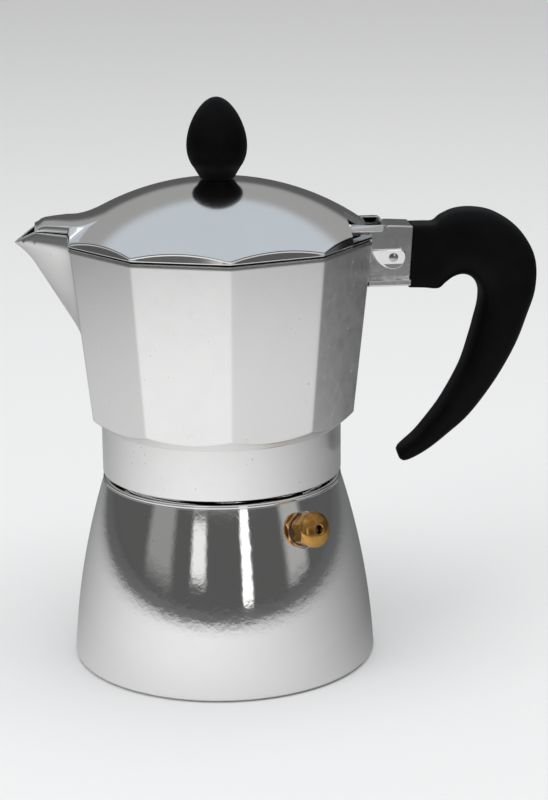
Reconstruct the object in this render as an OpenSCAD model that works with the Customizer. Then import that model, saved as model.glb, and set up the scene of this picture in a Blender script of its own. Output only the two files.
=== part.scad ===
// Stovetop moka pot. Millimetres. +Z is up, +X points to the handle, -X to the spout.
// The origin is the centre of the boiler's flat base.

/* [Boiler] */
// Radius of the boiler at its base
base_r = 44; // [40:0.5:50]
// Height of the bell up to the shoulder bead
bell_h = 52.8; // [44:0.2:62]
// How far the bell bulges outside a straight line from base to shoulder
bell_bulge = 1.7; // [0:0.1:3]
// Thickness of the bell's wall
boiler_wall = 2.6; // [2:0.1:3.5]
// Thickness of the boiler's floor
floor_t = 3; // [2:0.1:5]
// Radius of the rounded edge round the base
base_round = 1.4; // [0.5:0.1:3]
// Radius of the bead on the shoulder, in section
bead_r = 0.7; // [0.4:0.1:1]
// Room for the thread between the neck and the collar's bore
thread_room = 2; // [1.6:0.1:2.6]
// Wall thickness of the neck
neck_wall = 3.4; // [2.6:0.1:4]
// Height of the neck above the shoulder
neck_h = 12.9; // [11:0.1:15]

/* [Safety valve] */
// Direction of the valve round the pot, in degrees from the handle
valve_angle = 304; // [280:1:330]
// Height of the valve's axis at the boiler's wall
valve_z = 45; // [38:0.5:47]
// Radius of the valve's threaded shank
shank_r = 3.9; // [3.5:0.1:4.5]
// Length of the shank, from the seat face into the boiler
shank_l = 6.6; // [6:0.1:7.5]
// Width of the valve's hexagon across its flats
hex_af = 8.6; // [8.2:0.1:10]
// Length of the valve's hexagon
hex_l = 3.6; // [3:0.1:5]
// Radius of the valve's round head
head_r = 5; // [4.6:0.1:6]
// Height of the round head's rim
head_rim = 1.1; // [0.8:0.1:2]
// Height of the dome on the head
head_dome = 2.2; // [1.5:0.1:3]
// Radius of the steam hole in the head
steam_r = 1.25; // [1:0.05:1.6]
// Radius of the valve's inner chamber
valve_bore_r = 2.6; // [2.3:0.1:2.8]
// Thickness of the sealing washer under the hexagon
valve_washer_t = 0.6; // [0.4:0.1:1.2]
// Lift of the poppet when the valve blows
valve_lift = 1.2; // [0.8:0.1:1.6]
// Radius of the valve spring's wire
spring_wire_r = 0.27; // [0.2:0.01:0.35]
// Number of turns of the valve spring
spring_turns = 6; // [4:1:8]

/* [Funnel] */
// Thickness of the funnel's sheet
funnel_t = 0.8; // [0.6:0.1:1.2]
// Depth of the funnel's straight bowl
bowl_h = 21.5; // [16:0.5:26]
// Width of the ledge that carries the funnel's sieve
sieve_ledge = 1.2; // [0.8:0.1:2]
// Height of the cone under the bowl
cone_h = 9; // [6:0.5:12]
// Outer radius of the funnel's tube
tube_r = 4.4; // [3.5:0.1:5.5]
// Gap between the tube's end and the boiler's floor
tube_gap = 5; // [3:0.5:9]
// Thickness of both sieve plates
sieve_t = 0.8; // [0.5:0.1:1.2]
// Radius of each hole in the sieve plates
sieve_hole_r = 0.65; // [0.4:0.05:0.9]
// Distance between neighbouring holes
sieve_pitch = 4.3; // [3.6:0.1:5]

/* [Seal] */
// Thickness of the rubber gasket
gasket_t = 3.5; // [2.5:0.1:4.5]
// Radial width of the gasket
gasket_w = 6.2; // [5:0.1:7]

/* [Upper chamber] */
// Number of flat sides
facets = 10; // [8:2:12]
// Outer radius of the round collar
collar_r = 34.4; // [34:0.1:36]
// Wall thickness of the collar's threaded skirt
skirt_wall = 2.2; // [1.8:0.1:2.6]
// Depth of the skirt's bore under the gasket
skirt_depth = 14.7; // [13:0.1:15.5]
// Height of the collar's outside band
collar_h = 14.5; // [13:0.1:15.5]
// Height of the chamfer between the collar and the flat sides
chamfer_h = 3.7; // [2.5:0.1:5]
// How far the corners at the foot of the flat sides stand out from the collar
foot_out = 4.4; // [3:0.1:6]
// How far the corners at the rim stand out past the boiler's base
rim_out = 0.1; // [-1:0.1:4]
// Height of the flat sides
chamber_h = 49.4; // [42:0.2:60]
// Wall thickness of the chamber
chamber_wall = 2.4; // [2:0.1:3.2]
// Thickness of the chamber's floor above the filter plate
chamber_floor = 3.8; // [3.2:0.1:5]
// Radius of the coffee column at its foot
column_foot_r = 6.6; // [6:0.1:8]
// Radius of the coffee column at its top
column_top_r = 4.9; // [4.6:0.1:6]
// Height of the coffee column above the chamber's floor
column_h = 33; // [24:0.5:40]
// Radius of the column's bore
column_bore_r = 3.1; // [2.5:0.1:3.4]
// Radius of the two outlets at the column's top
outlet_r = 1.9; // [1.4:0.1:2.2]

/* [Spout] */
// Height of the spout's foot below the rim
spout_drop = 27; // [20:0.5:32]
// Height of the spout's walls above the rim
spout_rise = 3.5; // [3:0.1:5]
// Outward curl of the lip
lip_curl = 0.06; // [0.02:0.01:0.08]
// Wall thickness of the spout
spout_wall = 1.9; // [1.5:0.1:2.4]
// Horizontal distance from the flat side to the tip
spout_reach = 15.8; // [12:0.2:17]

/* [Lid] */
// Height of the dome above its own rim
dome_h = 15; // [11:0.5:18]
// Height of the lid's rim at its corners
lid_rim = 1.1; // [0.8:0.1:2]
// Thickness of the lid's sheet
lid_t = 1.5; // [1.2:0.1:2]
// Depth of the locating lip inside the chamber
lip_depth = 2.2; // [1.5:0.1:3]
// Length of the cover over the spout, from the flat side
cover_l = 9.3; // [7:0.1:10]
// Half width of the cover at the flat side
cover_hw = 10.5; // [8:0.1:11]
// Height of the cover's edges above the lid's rim at the flat side
cover_h = 4; // [3.5:0.1:5]
// Fall of the cover's edges towards its front
cover_fall = 0.6; // [0.2:0.1:1]
// Crown of the cover across its width
cover_crown = 0.9; // [0.3:0.1:1.2]

/* [Hinge] */
// Distance of the hinge pin from the flat side
pin_out = 6.7; // [6.4:0.1:7.5]
// Depth of the hinge pin below the rim
pin_drop = 5.9; // [5.5:0.1:6.5]
// Radius of the hinge pin
pin_r = 1.35; // [1:0.05:1.5]
// Radius of the ear round the hinge pin
ear_r = 3.5; // [3:0.1:3.7]
// Thickness of each ear at its boss
ear_t = 2.7; // [2.2:0.1:3.2]
// Half width of the bracket between the ears
bracket_hw = 5.6; // [4.8:0.1:6.2]
// Depth of the bracket below the rim
bracket_drop = 14.2; // [13:0.1:16]
// Length of the bracket from the flat side to the handle
bracket_l = 12.7; // [12.2:0.1:14]
// Thickness of the bracket's bottom flange
flange_h = 1.9; // [1.4:0.1:2.6]
// Length of the tenon that enters the handle
tenon_l = 6.6; // [5.5:0.1:7.5]
// Half width of the tenon
tenon_hw = 2.7; // [2.2:0.1:3]

/* [Handle] */
// Half width of the handle where it meets the bracket
root_hw = 5.4; // [5:0.1:6]
// Half width of the handle's grip
grip_hw = 8; // [6.5:0.1:9]
// Half width of the handle near its tip
tip_hw = 6.2; // [5:0.1:7]
// Shank radius of the handle's screw
screw_r = 1.5; // [1.2:0.1:1.7]
// Head radius of the handle's screw
screw_head_r = 2.8; // [2.4:0.1:3.2]

/* [Knob] */
// Height of the knob
knob_h = 22.6; // [18:0.5:28]
// Largest radius of the knob
knob_r = 8.5; // [7:0.1:10]
// Radius of the knob's foot
knob_foot_r = 5; // [4.4:0.1:6]
// Shank radius of the knob's screw
knob_screw_r = 1.5; // [1.2:0.1:1.8]

/* [Hidden] */
$fn = 96;

// Clearances
slip_gap = 0.3;       // between parts that slide past each other
pin_gap = 0.06;       // running fit of the hinge ears on their pin
bowl_gap = 0.8;       // between the funnel's bowl and the boiler's mouth
lid_gap = 0.3;        // between the lid and the chamber's rim
swing_gap = 0.4;      // between the ears and the bracket's walls
thread_gap = 0.05;    // between a plain shank and the wall it is screwed into
press_gap = 0.02;     // between pieces that are pressed or moulded into each other
screw_gap = 0.2;      // between a screw and a plain hole that it passes

// Radii that line up with each other
shoulder_r = collar_r;
neck_r = collar_r - skirt_wall - thread_room;
foot_r = collar_r + foot_out;
rim_r = base_r + rim_out;

// Levels, from the base up
rim_z = bell_h + neck_h;
ceiling_z = rim_z + funnel_t + gasket_t;
collar_z = ceiling_z - skirt_depth;
ledge_z = collar_z + collar_h;
foot_z = ledge_z + chamfer_h;
chamber_floor_z = ceiling_z + chamber_floor;
top_z = foot_z + chamber_h;
lid_z = top_z + lid_gap;
dome_z = lid_z + lid_rim;

// Flat-sided shape of the chamber
half_side = 180 / facets;
flat = cos(half_side);
taper = (rim_r - foot_r) / chamber_h;
function corner_r(z) = foot_r + (min(z, top_z) - foot_z) * taper;
function flat_x(z) = corner_r(z) * flat;
function side_hw(z) = corner_r(z) * sin(half_side);

// Points of an arc in a plane, from angle a to angle b
function arc(cx, cy, r, a, b, n) =
    [for (i = [0:n]) let (t = a + (b - a) * i / n) [cx + r * cos(t), cy + r * sin(t)]];

// A closed solid through a row of rings that all have the same number of points
module skin(rings) {
    sides = len(rings[0]);
    last = len(rings) - 1;
    points = [for (ring = rings) for (p = ring) p];
    faces = concat(
        [[for (j = [0:sides - 1]) j]],
        [[for (j = [sides - 1:-1:0]) last * sides + j]],
        [for (i = [0:last - 1]) for (j = [0:sides - 1])
            let (a = i * sides + j, b = i * sides + (j + 1) % sides)
            for (tri = [[a, a + sides, b + sides], [a, b + sides, b]]) tri]);
    polyhedron(points = points, faces = faces);
}

// A prism with as many sides as the chamber, flat side towards the handle
module flat_sided(z0, r0, z1, r1) {
    translate([0, 0, z0])
        rotate([0, 0, half_side])
            cylinder(h = z1 - z0, r1 = r0, r2 = r1, $fn = facets);
}

// An outline drawn in X and Z, given a thickness along Y about the middle plane
module upright(y0, y1) {
    translate([0, y1, 0])
        rotate([90, 0, 0])
            linear_extrude(height = y1 - y0)
                children();
}

// ---------------------------------------------------------------- boiler

mouth_r = neck_r - neck_wall;
bead_z = bell_h + bead_r;

// Radius of the bell at a height, for a wall of the given inset
function bell_r(z, inset) =
    let (t = z / bell_h)
    base_r + (shoulder_r - base_r) * t + 4 * bell_bulge * t * (1 - t) - inset;
function bell_points(z0, z1, inset, n) =
    [for (i = [0:n]) let (z = z0 + (z1 - z0) * i / n) [bell_r(z, inset), z]];

bell_steps = 24;
shoulder_in = 6;
valve_r = bell_r(valve_z, 0);
valve_tilt = atan((bell_r(valve_z - 1, 0) - bell_r(valve_z + 1, 0)) / 2);
spot_depth = 0.5;
spot_r = head_r + slip_gap;

// Puts a child drawn along +Z on the axis of the valve, with Z = 0 on the boiler's wall
module at_valve() {
    rotate([0, 0, valve_angle])
        translate([valve_r, 0, valve_z])
            rotate([0, 90 - valve_tilt, 0])
                children();
}

module boiler_outside() {
    rotate_extrude()
        polygon(concat(
            [[0, 0], [base_r - base_round, 0]],
            arc(base_r - base_round, base_round, base_round, -80, -10, 5),
            bell_points(base_round, bell_h, 0, bell_steps),
            arc(shoulder_r - bead_r, bead_z, bead_r, -60, 80, 8),
            [[neck_r, bead_z + bead_r], [neck_r, rim_z], [0, rim_z]]));
}

module boiler_inside() {
    rotate_extrude()
        polygon(concat(
            [[0, floor_t], [base_r - boiler_wall - base_round, floor_t]],
            bell_points(floor_t + base_round, bell_h - shoulder_in, boiler_wall, bell_steps),
            [[mouth_r, bell_h], [mouth_r, rim_z + 1], [0, rim_z + 1]]));
}

module boiler() {
    color("silver")
        difference() {
            boiler_outside();
            boiler_inside();
            at_valve()
                translate([0, 0, -spot_depth])
                    cylinder(r = spot_r, h = spot_depth + 3);
            at_valve()
                translate([0, 0, -shank_l])
                    cylinder(r = shank_r + thread_gap, h = shank_l + 3);
        }
}

// ---------------------------------------------------------------- safety valve

hex_z = valve_washer_t - spot_depth;
head_z = hex_z + hex_l;
dome_base_z = head_z + head_rim;
bore_end_z = dome_base_z + 0.3;
inner_z = -shank_l;
seat_t = 2.2;
seat_z = inner_z + seat_t;
seat_hole_r = 1.1;
disc_t = 1;
disc_r = valve_bore_r - slip_gap;
stem_r = 0.7;
spring_r = valve_bore_r - slip_gap - 0.2 - spring_wire_r;

module valve_washer() {
    color("dimgray")
        at_valve()
            translate([0, 0, -spot_depth])
                difference() {
                    cylinder(r = head_r, h = valve_washer_t);
                    translate([0, 0, -1])
                        cylinder(r = shank_r + thread_gap, h = valve_washer_t + 2);
                }
}

module valve_body() {
    color("goldenrod")
        at_valve()
            difference() {
                union() {
                    translate([0, 0, inner_z])
                        cylinder(r = shank_r, h = hex_z - inner_z + 0.5);
                    translate([0, 0, hex_z])
                        cylinder(r = hex_af / 2 / cos(30), h = hex_l + 0.2, $fn = 6);
                    translate([0, 0, head_z])
                        rotate_extrude()
                            polygon(concat([[0, 0], [head_r - 0.3, 0], [head_r, 0.3]],
                                dome_section(), [[0, head_rim + head_dome]]));
                }
                translate([0, 0, inner_z - 1])
                    cylinder(r = valve_bore_r, h = bore_end_z - inner_z + 1);
                translate([0, 0, inner_z])
                    cylinder(r = steam_r, h = dome_base_z + head_dome - inner_z + 1);
            }
}

// Half section of the head's dome, from its rim to the flat round the steam hole
function dome_section() =
    [for (i = [0:8]) let (a = i * 8.5)
        [head_r * cos(a), head_rim + head_dome * sin(a)]];

module valve_seat() {
    color("gold")
        at_valve()
            translate([0, 0, inner_z])
                difference() {
                    cylinder(r = valve_bore_r - press_gap, h = seat_t);
                    translate([0, 0, -1])
                        cylinder(r = seat_hole_r, h = seat_t + 2);
                }
}

module valve_poppet() {
    color("silver")
        at_valve()
            translate([0, 0, seat_z])
                rotate_extrude()
                    polygon([[0, -seat_t + 0.5], [seat_hole_r - slip_gap, -seat_t + 0.9],
                        [seat_hole_r - slip_gap, 0], [disc_r, 0], [disc_r, disc_t],
                        [stem_r, disc_t + 0.3], [stem_r, bore_end_z - seat_z - 0.2],
                        [0, bore_end_z - seat_z]]);
}

// One ring of the spring's wire, at a turn count along the coil
function wire_ring(turn, pitch) =
    let (a = 360 * turn, lean = atan(pitch / (2 * PI * spring_r)))
    [for (j = [0:7]) let (b = 45 * j,
        out = spring_wire_r * cos(b), up = spring_wire_r * sin(b))
        [(spring_r + out) * cos(a) + up * sin(lean) * sin(a),
         (spring_r + out) * sin(a) - up * sin(lean) * cos(a),
         pitch * turn + up * cos(lean)]];

module valve_spring() {
    foot = seat_z + disc_t + spring_wire_r + 0.05;
    coil_l = bore_end_z - 0.05 - spring_wire_r - foot;
    steps = spring_turns * 12;
    color("lightgray")
        at_valve()
            translate([0, 0, foot])
                skin([for (i = [0:steps])
                    wire_ring(spring_turns * i / steps, coil_l / spring_turns)]);
}

// ---------------------------------------------------------------- funnel and sieves

bowl_r = mouth_r - bowl_gap;
bowl_in_r = bowl_r - funnel_t;
flange_r = neck_r - slip_gap;
flange_z = rim_z;
bowl_z = flange_z + funnel_t - bowl_h;
tube_top_z = bowl_z - cone_h;
tube_z = floor_t + tube_gap;

module funnel() {
    color("gainsboro")
        rotate_extrude()
            polygon([
                [bowl_r, flange_z],
                [flange_r, flange_z],
                [flange_r, flange_z + funnel_t],
                [bowl_in_r, flange_z + funnel_t],
                [bowl_in_r, bowl_z],
                [bowl_in_r - sieve_ledge, bowl_z],
                [tube_r - funnel_t, tube_top_z],
                [tube_r - funnel_t, tube_z],
                [tube_r, tube_z],
                [tube_r, tube_top_z - funnel_t],
                [bowl_in_r - sieve_ledge + funnel_t, bowl_z - funnel_t],
                [bowl_r, bowl_z - funnel_t]]);
}

// A thin disc with rings of round holes
module sieve_disc(r) {
    rings = floor((r - 2 * sieve_hole_r - 1) / sieve_pitch);
    linear_extrude(height = sieve_t)
        difference() {
            circle(r = r);
            circle(r = sieve_hole_r, $fn = 24);
            for (ring = [1:rings])
                for (k = [0:6 * ring - 1])
                    rotate([0, 0, 60 * k / ring])
                        translate([ring * sieve_pitch, 0])
                            circle(r = sieve_hole_r, $fn = 24);
        }
}

module funnel_sieve() {
    color("silver")
        translate([0, 0, bowl_z])
            sieve_disc(bowl_in_r - 0.1);
}

gasket_r = collar_r - skirt_wall - slip_gap;
gasket_bore_r = gasket_r - gasket_w;
plate_r = gasket_bore_r - slip_gap;
plate_z = ceiling_z - sieve_t;

module filter_plate() {
    color("silver")
        translate([0, 0, plate_z])
            sieve_disc(plate_r);
}

module gasket() {
    color("whitesmoke")
        translate([0, 0, ceiling_z - gasket_t])
            difference() {
                cylinder(r = gasket_r, h = gasket_t);
                translate([0, 0, -1])
                    cylinder(r = gasket_bore_r, h = gasket_t + 2);
            }
}

// ---------------------------------------------------------------- upper chamber

dish_r = plate_r - 1;
dish_h = 1.4;
column_top_z = chamber_floor_z + column_h;
cap_h = 2;
outlet_z = column_top_z - 2 * cap_h;
cone_run = (foot_r - collar_r) / chamfer_h;

// Flat-sided cup with its corners cut by the chamfer above the collar
module chamber_outside() {
    intersection() {
        flat_sided(ledge_z, corner_r(ledge_z), top_z, rim_r);
        rotate_extrude()
            polygon([[0, ledge_z - 1], [collar_r, ledge_z - 1], [collar_r, ledge_z],
                [rim_r + 2, ledge_z + (rim_r + 2 - collar_r) / cone_run],
                [rim_r + 2, top_z + 1], [0, top_z + 1]]);
    }
}

// Spout. Its foot is on the flat side and its keel runs out to the tip.
spout_z = top_z - spout_drop;
spout_top_z = top_z + spout_rise;
curl_z = top_z - 6;
cover_front_x = -flat_x(top_z) - cover_l;
tip_x = -flat_x(top_z) - spout_reach;
tip_drop = 0.3;       // fall of the tip below the rim
spout_half = 8;       // points on each side of the keel
nose = 1.2;           // 1 makes a sharp keel and 2 a round one
bury = 0.3;           // depth of the spout's foot inside the flat side
keel_slope = (spout_reach + flat_x(top_z) - flat_x(spout_z)
    - lip_curl * pow(top_z - curl_z, 2)) / spout_drop;
function keel_out(z) = let (h = min(z, top_z))
    bury + (h - spout_z) * keel_slope + lip_curl * pow(max(0, h - curl_z), 2)
    - (flat_x(h) - flat_x(spout_z));

// One level ring of the spout, drawn back into the wall by root
function spout_ring(z, inset, root) =
    let (hw = side_hw(z) - 0.15 - inset, out = keel_out(z) - 1.3 * inset, x0 = -flat_x(z))
    concat(
        [[x0 + root, hw, z]],
        [for (i = [-spout_half:spout_half]) let (s = -i / spout_half)
            [x0 + bury + 0.1 - max(out, bury / 2) * (1 - pow(abs(s), nose)), s * hw, z]],
        [[x0 + root, -hw, z]]);

module spout_outside() {
    levels = 14;
    difference() {
        skin([for (i = [0:levels])
            spout_ring(spout_z + (spout_top_z - spout_z) * i / levels, 0, chamber_wall / 2)]);
        // the lip falls from the front of the lid's cover to the tip
        upright(-rim_r, rim_r)
            polygon([[cover_front_x, spout_top_z],
                [tip_x, top_z - tip_drop],
                [tip_x - 5, top_z - tip_drop - 3],
                [tip_x - 5, spout_top_z + 1],
                [cover_front_x, spout_top_z + 1]]);
        // above the rim the walls stand clear of the lid
        translate([-wall_x - lid_gap, -rim_r, top_z])
            cube([rim_r, 2 * rim_r, 2 * spout_rise]);
    }
}

module spout_inside() {
    levels = 12;
    z0 = spout_z + 3;
    z1 = spout_top_z + 1;
    skin([for (i = [0:levels])
        spout_ring(z0 + (z1 - z0) * i / levels, spout_wall, chamber_wall + 1.5)]);
}

// Hinge bracket
wall_x = flat_x(top_z);
pin_x = wall_x + pin_out;
pin_z = top_z - pin_drop;
bracket_z = top_z - bracket_drop;
bracket_x = wall_x + bracket_l;
block_x = pin_x - 2.1;
block_z = top_z + 2.7;
saddle_z = top_z - 3.3;
ear_long = 6.3;
strip_x = pin_x - ear_long - 0.2;
outer_hw = bracket_hw + slip_gap + ear_t;
arm_hw = outer_hw - 0.6;
tenon_z = pin_z - 6.5;
tenon_top_z = pin_z + 3.5;
screw_x = bracket_x + tenon_l / 2 + 0.2;

module bracket() {
    // central block that carries the pin and the handle
    upright(-bracket_hw, bracket_hw)
        polygon([[wall_x - chamber_wall, bracket_z],
            [bracket_x - 1, bracket_z],
            [bracket_x, block_z - 0.4],
            [block_x + 1, block_z],
            [block_x, block_z - 0.6],
            [block_x, saddle_z],
            [wall_x - chamber_wall, saddle_z]]);
    // rib on the chamber's wall and flange under the ears
    upright(-outer_hw, outer_hw)
        polygon([[wall_x - chamber_wall, bracket_z],
            [bracket_x - 1, bracket_z],
            [bracket_x - 0.9, bracket_z + flange_h],
            [strip_x, bracket_z + flange_h],
            [strip_x, saddle_z],
            [wall_x - chamber_wall, saddle_z]]);
    // tenon that enters the handle
    upright(-tenon_hw, tenon_hw)
        polygon([[bracket_x - 2, tenon_z], [bracket_x + tenon_l, tenon_z],
            [bracket_x + tenon_l, tenon_top_z], [bracket_x - 2, tenon_top_z]]);
}

module upper_chamber() {
    color("silver")
        difference() {
            union() {
                difference() {
                    union() {
                        chamber_outside();
                        translate([0, 0, collar_z])
                            cylinder(r = collar_r, h = collar_h);
                        spout_outside();
                        bracket();
                    }
                    flat_sided(chamber_floor_z, corner_r(chamber_floor_z) - chamber_wall / flat,
                        top_z + 5, corner_r(top_z) - chamber_wall / flat + 5 * taper);
                    spout_inside();
                }
                // coffee column, closed at its top
                translate([0, 0, chamber_floor_z - 1])
                    cylinder(r1 = column_foot_r, r2 = column_top_r, h = column_h + 1 - cap_h);
                translate([0, 0, column_top_z - cap_h])
                    rotate_extrude()
                        polygon([[0, 0], [column_top_r, 0],
                            [column_top_r - cap_h / 4, cap_h * 0.7],
                            [column_top_r - cap_h, cap_h], [0, cap_h]]);
            }
            // bore of the threaded skirt
            translate([0, 0, collar_z - 1])
                cylinder(r = collar_r - skirt_wall, h = ceiling_z - collar_z + 1);
            // dish over the filter plate, and the column's bore with its two outlets
            translate([0, 0, ceiling_z - 1])
                cylinder(r = dish_r, h = dish_h + 1);
            translate([0, 0, ceiling_z])
                cylinder(r = column_bore_r, h = column_top_z - cap_h - 0.5 - ceiling_z);
            translate([0, 0, outlet_z])
                rotate([90, 0, 0])
                    cylinder(r = outlet_r, h = 4 * column_top_r, center = true);
            // bore for the hinge pin
            translate([pin_x, 0, pin_z])
                rotate([90, 0, 0])
                    cylinder(r = pin_r + press_gap, h = 3 * outer_hw, center = true);
            // hole in the tenon for the handle's screw
            translate([screw_x, 0, tenon_z - 1])
                cylinder(r = screw_r + screw_gap, h = tenon_top_z - tenon_z + 2);
        }
}

module hinge_pin() {
    color("gray")
        translate([pin_x, 0, pin_z])
            rotate([90, 0, 0])
                cylinder(r = pin_r, h = 2 * outer_hw, center = true);
}

// ---------------------------------------------------------------- lid

dome_r = (pow(rim_r, 2) + pow(dome_h, 2)) / (2 * dome_h);
dome_c = dome_z + dome_h - dome_r;
cover_z = lid_z + spout_rise;
cover_edge_z = dome_z + cover_h;
cover_front_hw = (side_hw(top_z) - bury / 2) * pow(1 - cover_l / spout_reach, 1 / nose);
cover_back_x = -wall_x + 12;
cover_gap = 0.25;     // run of the step under the cover, each way from the flat side
cover_slope = 1.6;    // run of the cover's front edge
cover_nose_h = 0.4;   // height of the cover's front edge at its corners
lip_gap = 1.9;        // leaves room for the lip to swing out of the chamber
lip_r = wall_x - chamber_wall - lip_gap;
lip_t = 1.3;
lip_end_x = -30;      // the lip stops short of the spout
lid_hole_r = knob_screw_r + screw_gap;
boss_r = knob_foot_r + 0.6;
boss_z = dome_z + dome_h + 0.15;
pad_z = boss_z - 2;

// One upright ring of the cover, crowned across its width
function cover_ring(x, hw, edge, z0, inset) =
    concat(
        [[x, inset - hw, z0]],
        [for (i = [-4:4]) let (t = i / 4)
            [x, t * (hw - inset), edge + cover_crown * (1 - t * t) - inset]],
        [[x, hw - inset, z0]]);

// Cover over the spout, a crowned wedge whose top falls to its front. Its root reaches
// down into the dome, and the rest stands clear of the spout's walls.
module cover_block(inset, z0, root_z) {
    front_x = cover_front_x + inset;
    skin([
        cover_ring(cover_back_x, cover_hw, cover_edge_z, root_z, inset),
        cover_ring(cover_gap - wall_x, cover_hw, cover_edge_z, root_z, inset),
        cover_ring(-wall_x - cover_gap, cover_hw, cover_edge_z, z0, inset),
        cover_ring(front_x + cover_slope, cover_front_hw, cover_edge_z - cover_fall, z0, inset),
        cover_ring(front_x, cover_front_hw, cover_z + cover_nose_h, z0, inset)]);
}

ear_root = 2;         // depth of the ear inside the lid's rim
ear_top_z = block_z + 0.6;
boss_up = 2.7;        // height of the boss above the pin
strip_z = lid_z + 0.8;
notch_in = 4;         // reach of the hinge notch into the lid's rim
notch_z = block_z + 0.2;

// Outline of one hinge ear, seen from the side
module ear_outline() {
    translate([pin_x, pin_z])
        circle(r = ear_r);
    polygon([[wall_x + swing_gap, lid_z],
        [wall_x - ear_root, lid_z],
        [wall_x - ear_root, ear_top_z],
        [block_x - 0.4, ear_top_z],
        [block_x - 0.1, block_z - 1.5],
        [pin_x + 1.1, pin_z + 4.3],
        [pin_x + ear_r - 0.5, pin_z + 2],
        [pin_x + ear_r - 0.2, pin_z],
        [pin_x - 0.4, pin_z - ear_r + 0.1],
        [pin_x - 2.6, pin_z - 2.6],
        [pin_x - 4.6, pin_z - 0.6],
        [pin_x - ear_long + 0.4, pin_z + 1.6],
        [wall_x + swing_gap, pin_z + boss_up]]);
}

module ears() {
    for (side = [-1, 1]) {
        inner = bracket_hw + slip_gap;
        y0 = side > 0 ? inner : -arm_hw;
        y1 = side > 0 ? arm_hw : -inner;
        upright(y0, y1)
            ear_outline();
        // thicker boss round the pin and thicker strip along the top
        boss_y0 = side > 0 ? inner : -outer_hw;
        boss_y1 = side > 0 ? outer_hw : -inner;
        upright(boss_y0, boss_y1)
            intersection() {
                ear_outline();
                translate([wall_x + swing_gap, pin_z - 2 * ear_r])
                    square([2 * pin_out, 2 * ear_r + boss_up]);
            }
        upright(boss_y0, boss_y1)
            intersection() {
                ear_outline();
                translate([wall_x - ear_root, strip_z])
                    square([2 * pin_out, 2 * ear_r]);
            }
    }
}

module lid_shell() {
    difference() {
        union() {
            intersection() {
                translate([0, 0, dome_c])
                    sphere(r = dome_r);
                flat_sided(lid_z, rim_r, dome_z + 2 * dome_h, rim_r);
            }
            cover_block(0, cover_z, dome_z);
        }
        intersection() {
            translate([0, 0, dome_c])
                sphere(r = dome_r - lid_t);
            flat_sided(lid_z - 1, rim_r - 2 * lid_t, dome_z + 2 * dome_h, rim_r - 2 * lid_t);
        }
        cover_block(lid_t, lid_z - 1, lid_z - 1);
    }
}

module lid() {
    color("gainsboro")
        difference() {
            union() {
                lid_shell();
                // locating lip, open towards the spout
                intersection() {
                    difference() {
                        translate([0, 0, lid_z - lip_depth])
                            cylinder(r = lip_r, h = dome_h);
                        translate([0, 0, lid_z - lip_depth - 1])
                            cylinder(r = lip_r - lip_t, h = dome_h + 2);
                    }
                    translate([0, 0, dome_c])
                        sphere(r = dome_r - lid_t / 2);
                    translate([lip_end_x, -rim_r, lid_z - lip_depth - 1])
                        cube([2 * rim_r, 2 * rim_r, dome_h + 2]);
                }
                // pad with a flat seat for the knob above and its washer below
                translate([0, 0, pad_z])
                    cylinder(r = boss_r, h = boss_z - pad_z);
                ears();
            }
            translate([0, 0, lid_z])
                cylinder(r = lid_hole_r, h = 2 * dome_h);
            translate([pin_x, 0, pin_z])
                rotate([90, 0, 0])
                    cylinder(r = pin_r + pin_gap, h = 3 * outer_hw, center = true);
            // notch that clears the bracket's block when the lid opens
            translate([wall_x - notch_in, -bracket_hw - slip_gap, lid_z - 1])
                cube([notch_in + pin_out, 2 * (bracket_hw + slip_gap), notch_z - lid_z + 1]);
        }
}

// ---------------------------------------------------------------- knob

knob_z = boss_z;
insert_r = 2.6;
insert_h = 8;
knob_screw_l = 9;
washer_t = 0.8;
washer_r = 4.2;
knob_head_z = pad_z - washer_t;
knob_head_r = 2.9;
egg_lean = 0.21;      // 0 makes the egg as full above its middle as below
neck_share = 0.13;    // share of the knob's height that its neck takes

// Half section of the egg, from the neck to the top
function egg_width(a) = sin(a) * (1 + egg_lean * cos(a));
egg_peak = max([for (a = [60:90]) egg_width(a)]);
function egg_above(n) =
    [for (i = [1:n - 1]) let (a = 180 * i / n, z = knob_h * (1 - cos(a)) / 2)
        if (z > neck_share * knob_h) [knob_r * egg_width(a) / egg_peak, z]];

module knob() {
    color("black")
        translate([0, 0, knob_z])
            difference() {
                rotate_extrude()
                    polygon(concat([[0, 0], [knob_foot_r, 0], [knob_foot_r, 0.4]],
                        egg_above(40), [[0, knob_h]]));
                translate([0, 0, -1])
                    cylinder(r = insert_r + press_gap, h = insert_h + 1);
            }
}

module knob_insert() {
    color("goldenrod")
        translate([0, 0, knob_z])
            difference() {
                cylinder(r = insert_r, h = insert_h);
                translate([0, 0, -1])
                    cylinder(r = knob_screw_r + thread_gap, h = insert_h);
            }
}

module knob_washer() {
    color("lightgray")
        translate([0, 0, knob_head_z])
            difference() {
                cylinder(r = washer_r, h = washer_t);
                translate([0, 0, -1])
                    cylinder(r = lid_hole_r, h = washer_t + 2);
            }
}

module knob_screw() {
    color("gray")
        translate([0, 0, knob_head_z])
            union() {
                cylinder(r = knob_screw_r, h = knob_screw_l);
                rotate([180, 0, 0])
                    rotate_extrude()
                        polygon([[0, 0], [knob_head_r, 0], [knob_head_r, 0.6],
                            [knob_head_r - 0.7, 1.6], [knob_head_r - 1.9, 2], [0, 2]]);
            }
}

// ---------------------------------------------------------------- handle

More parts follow.
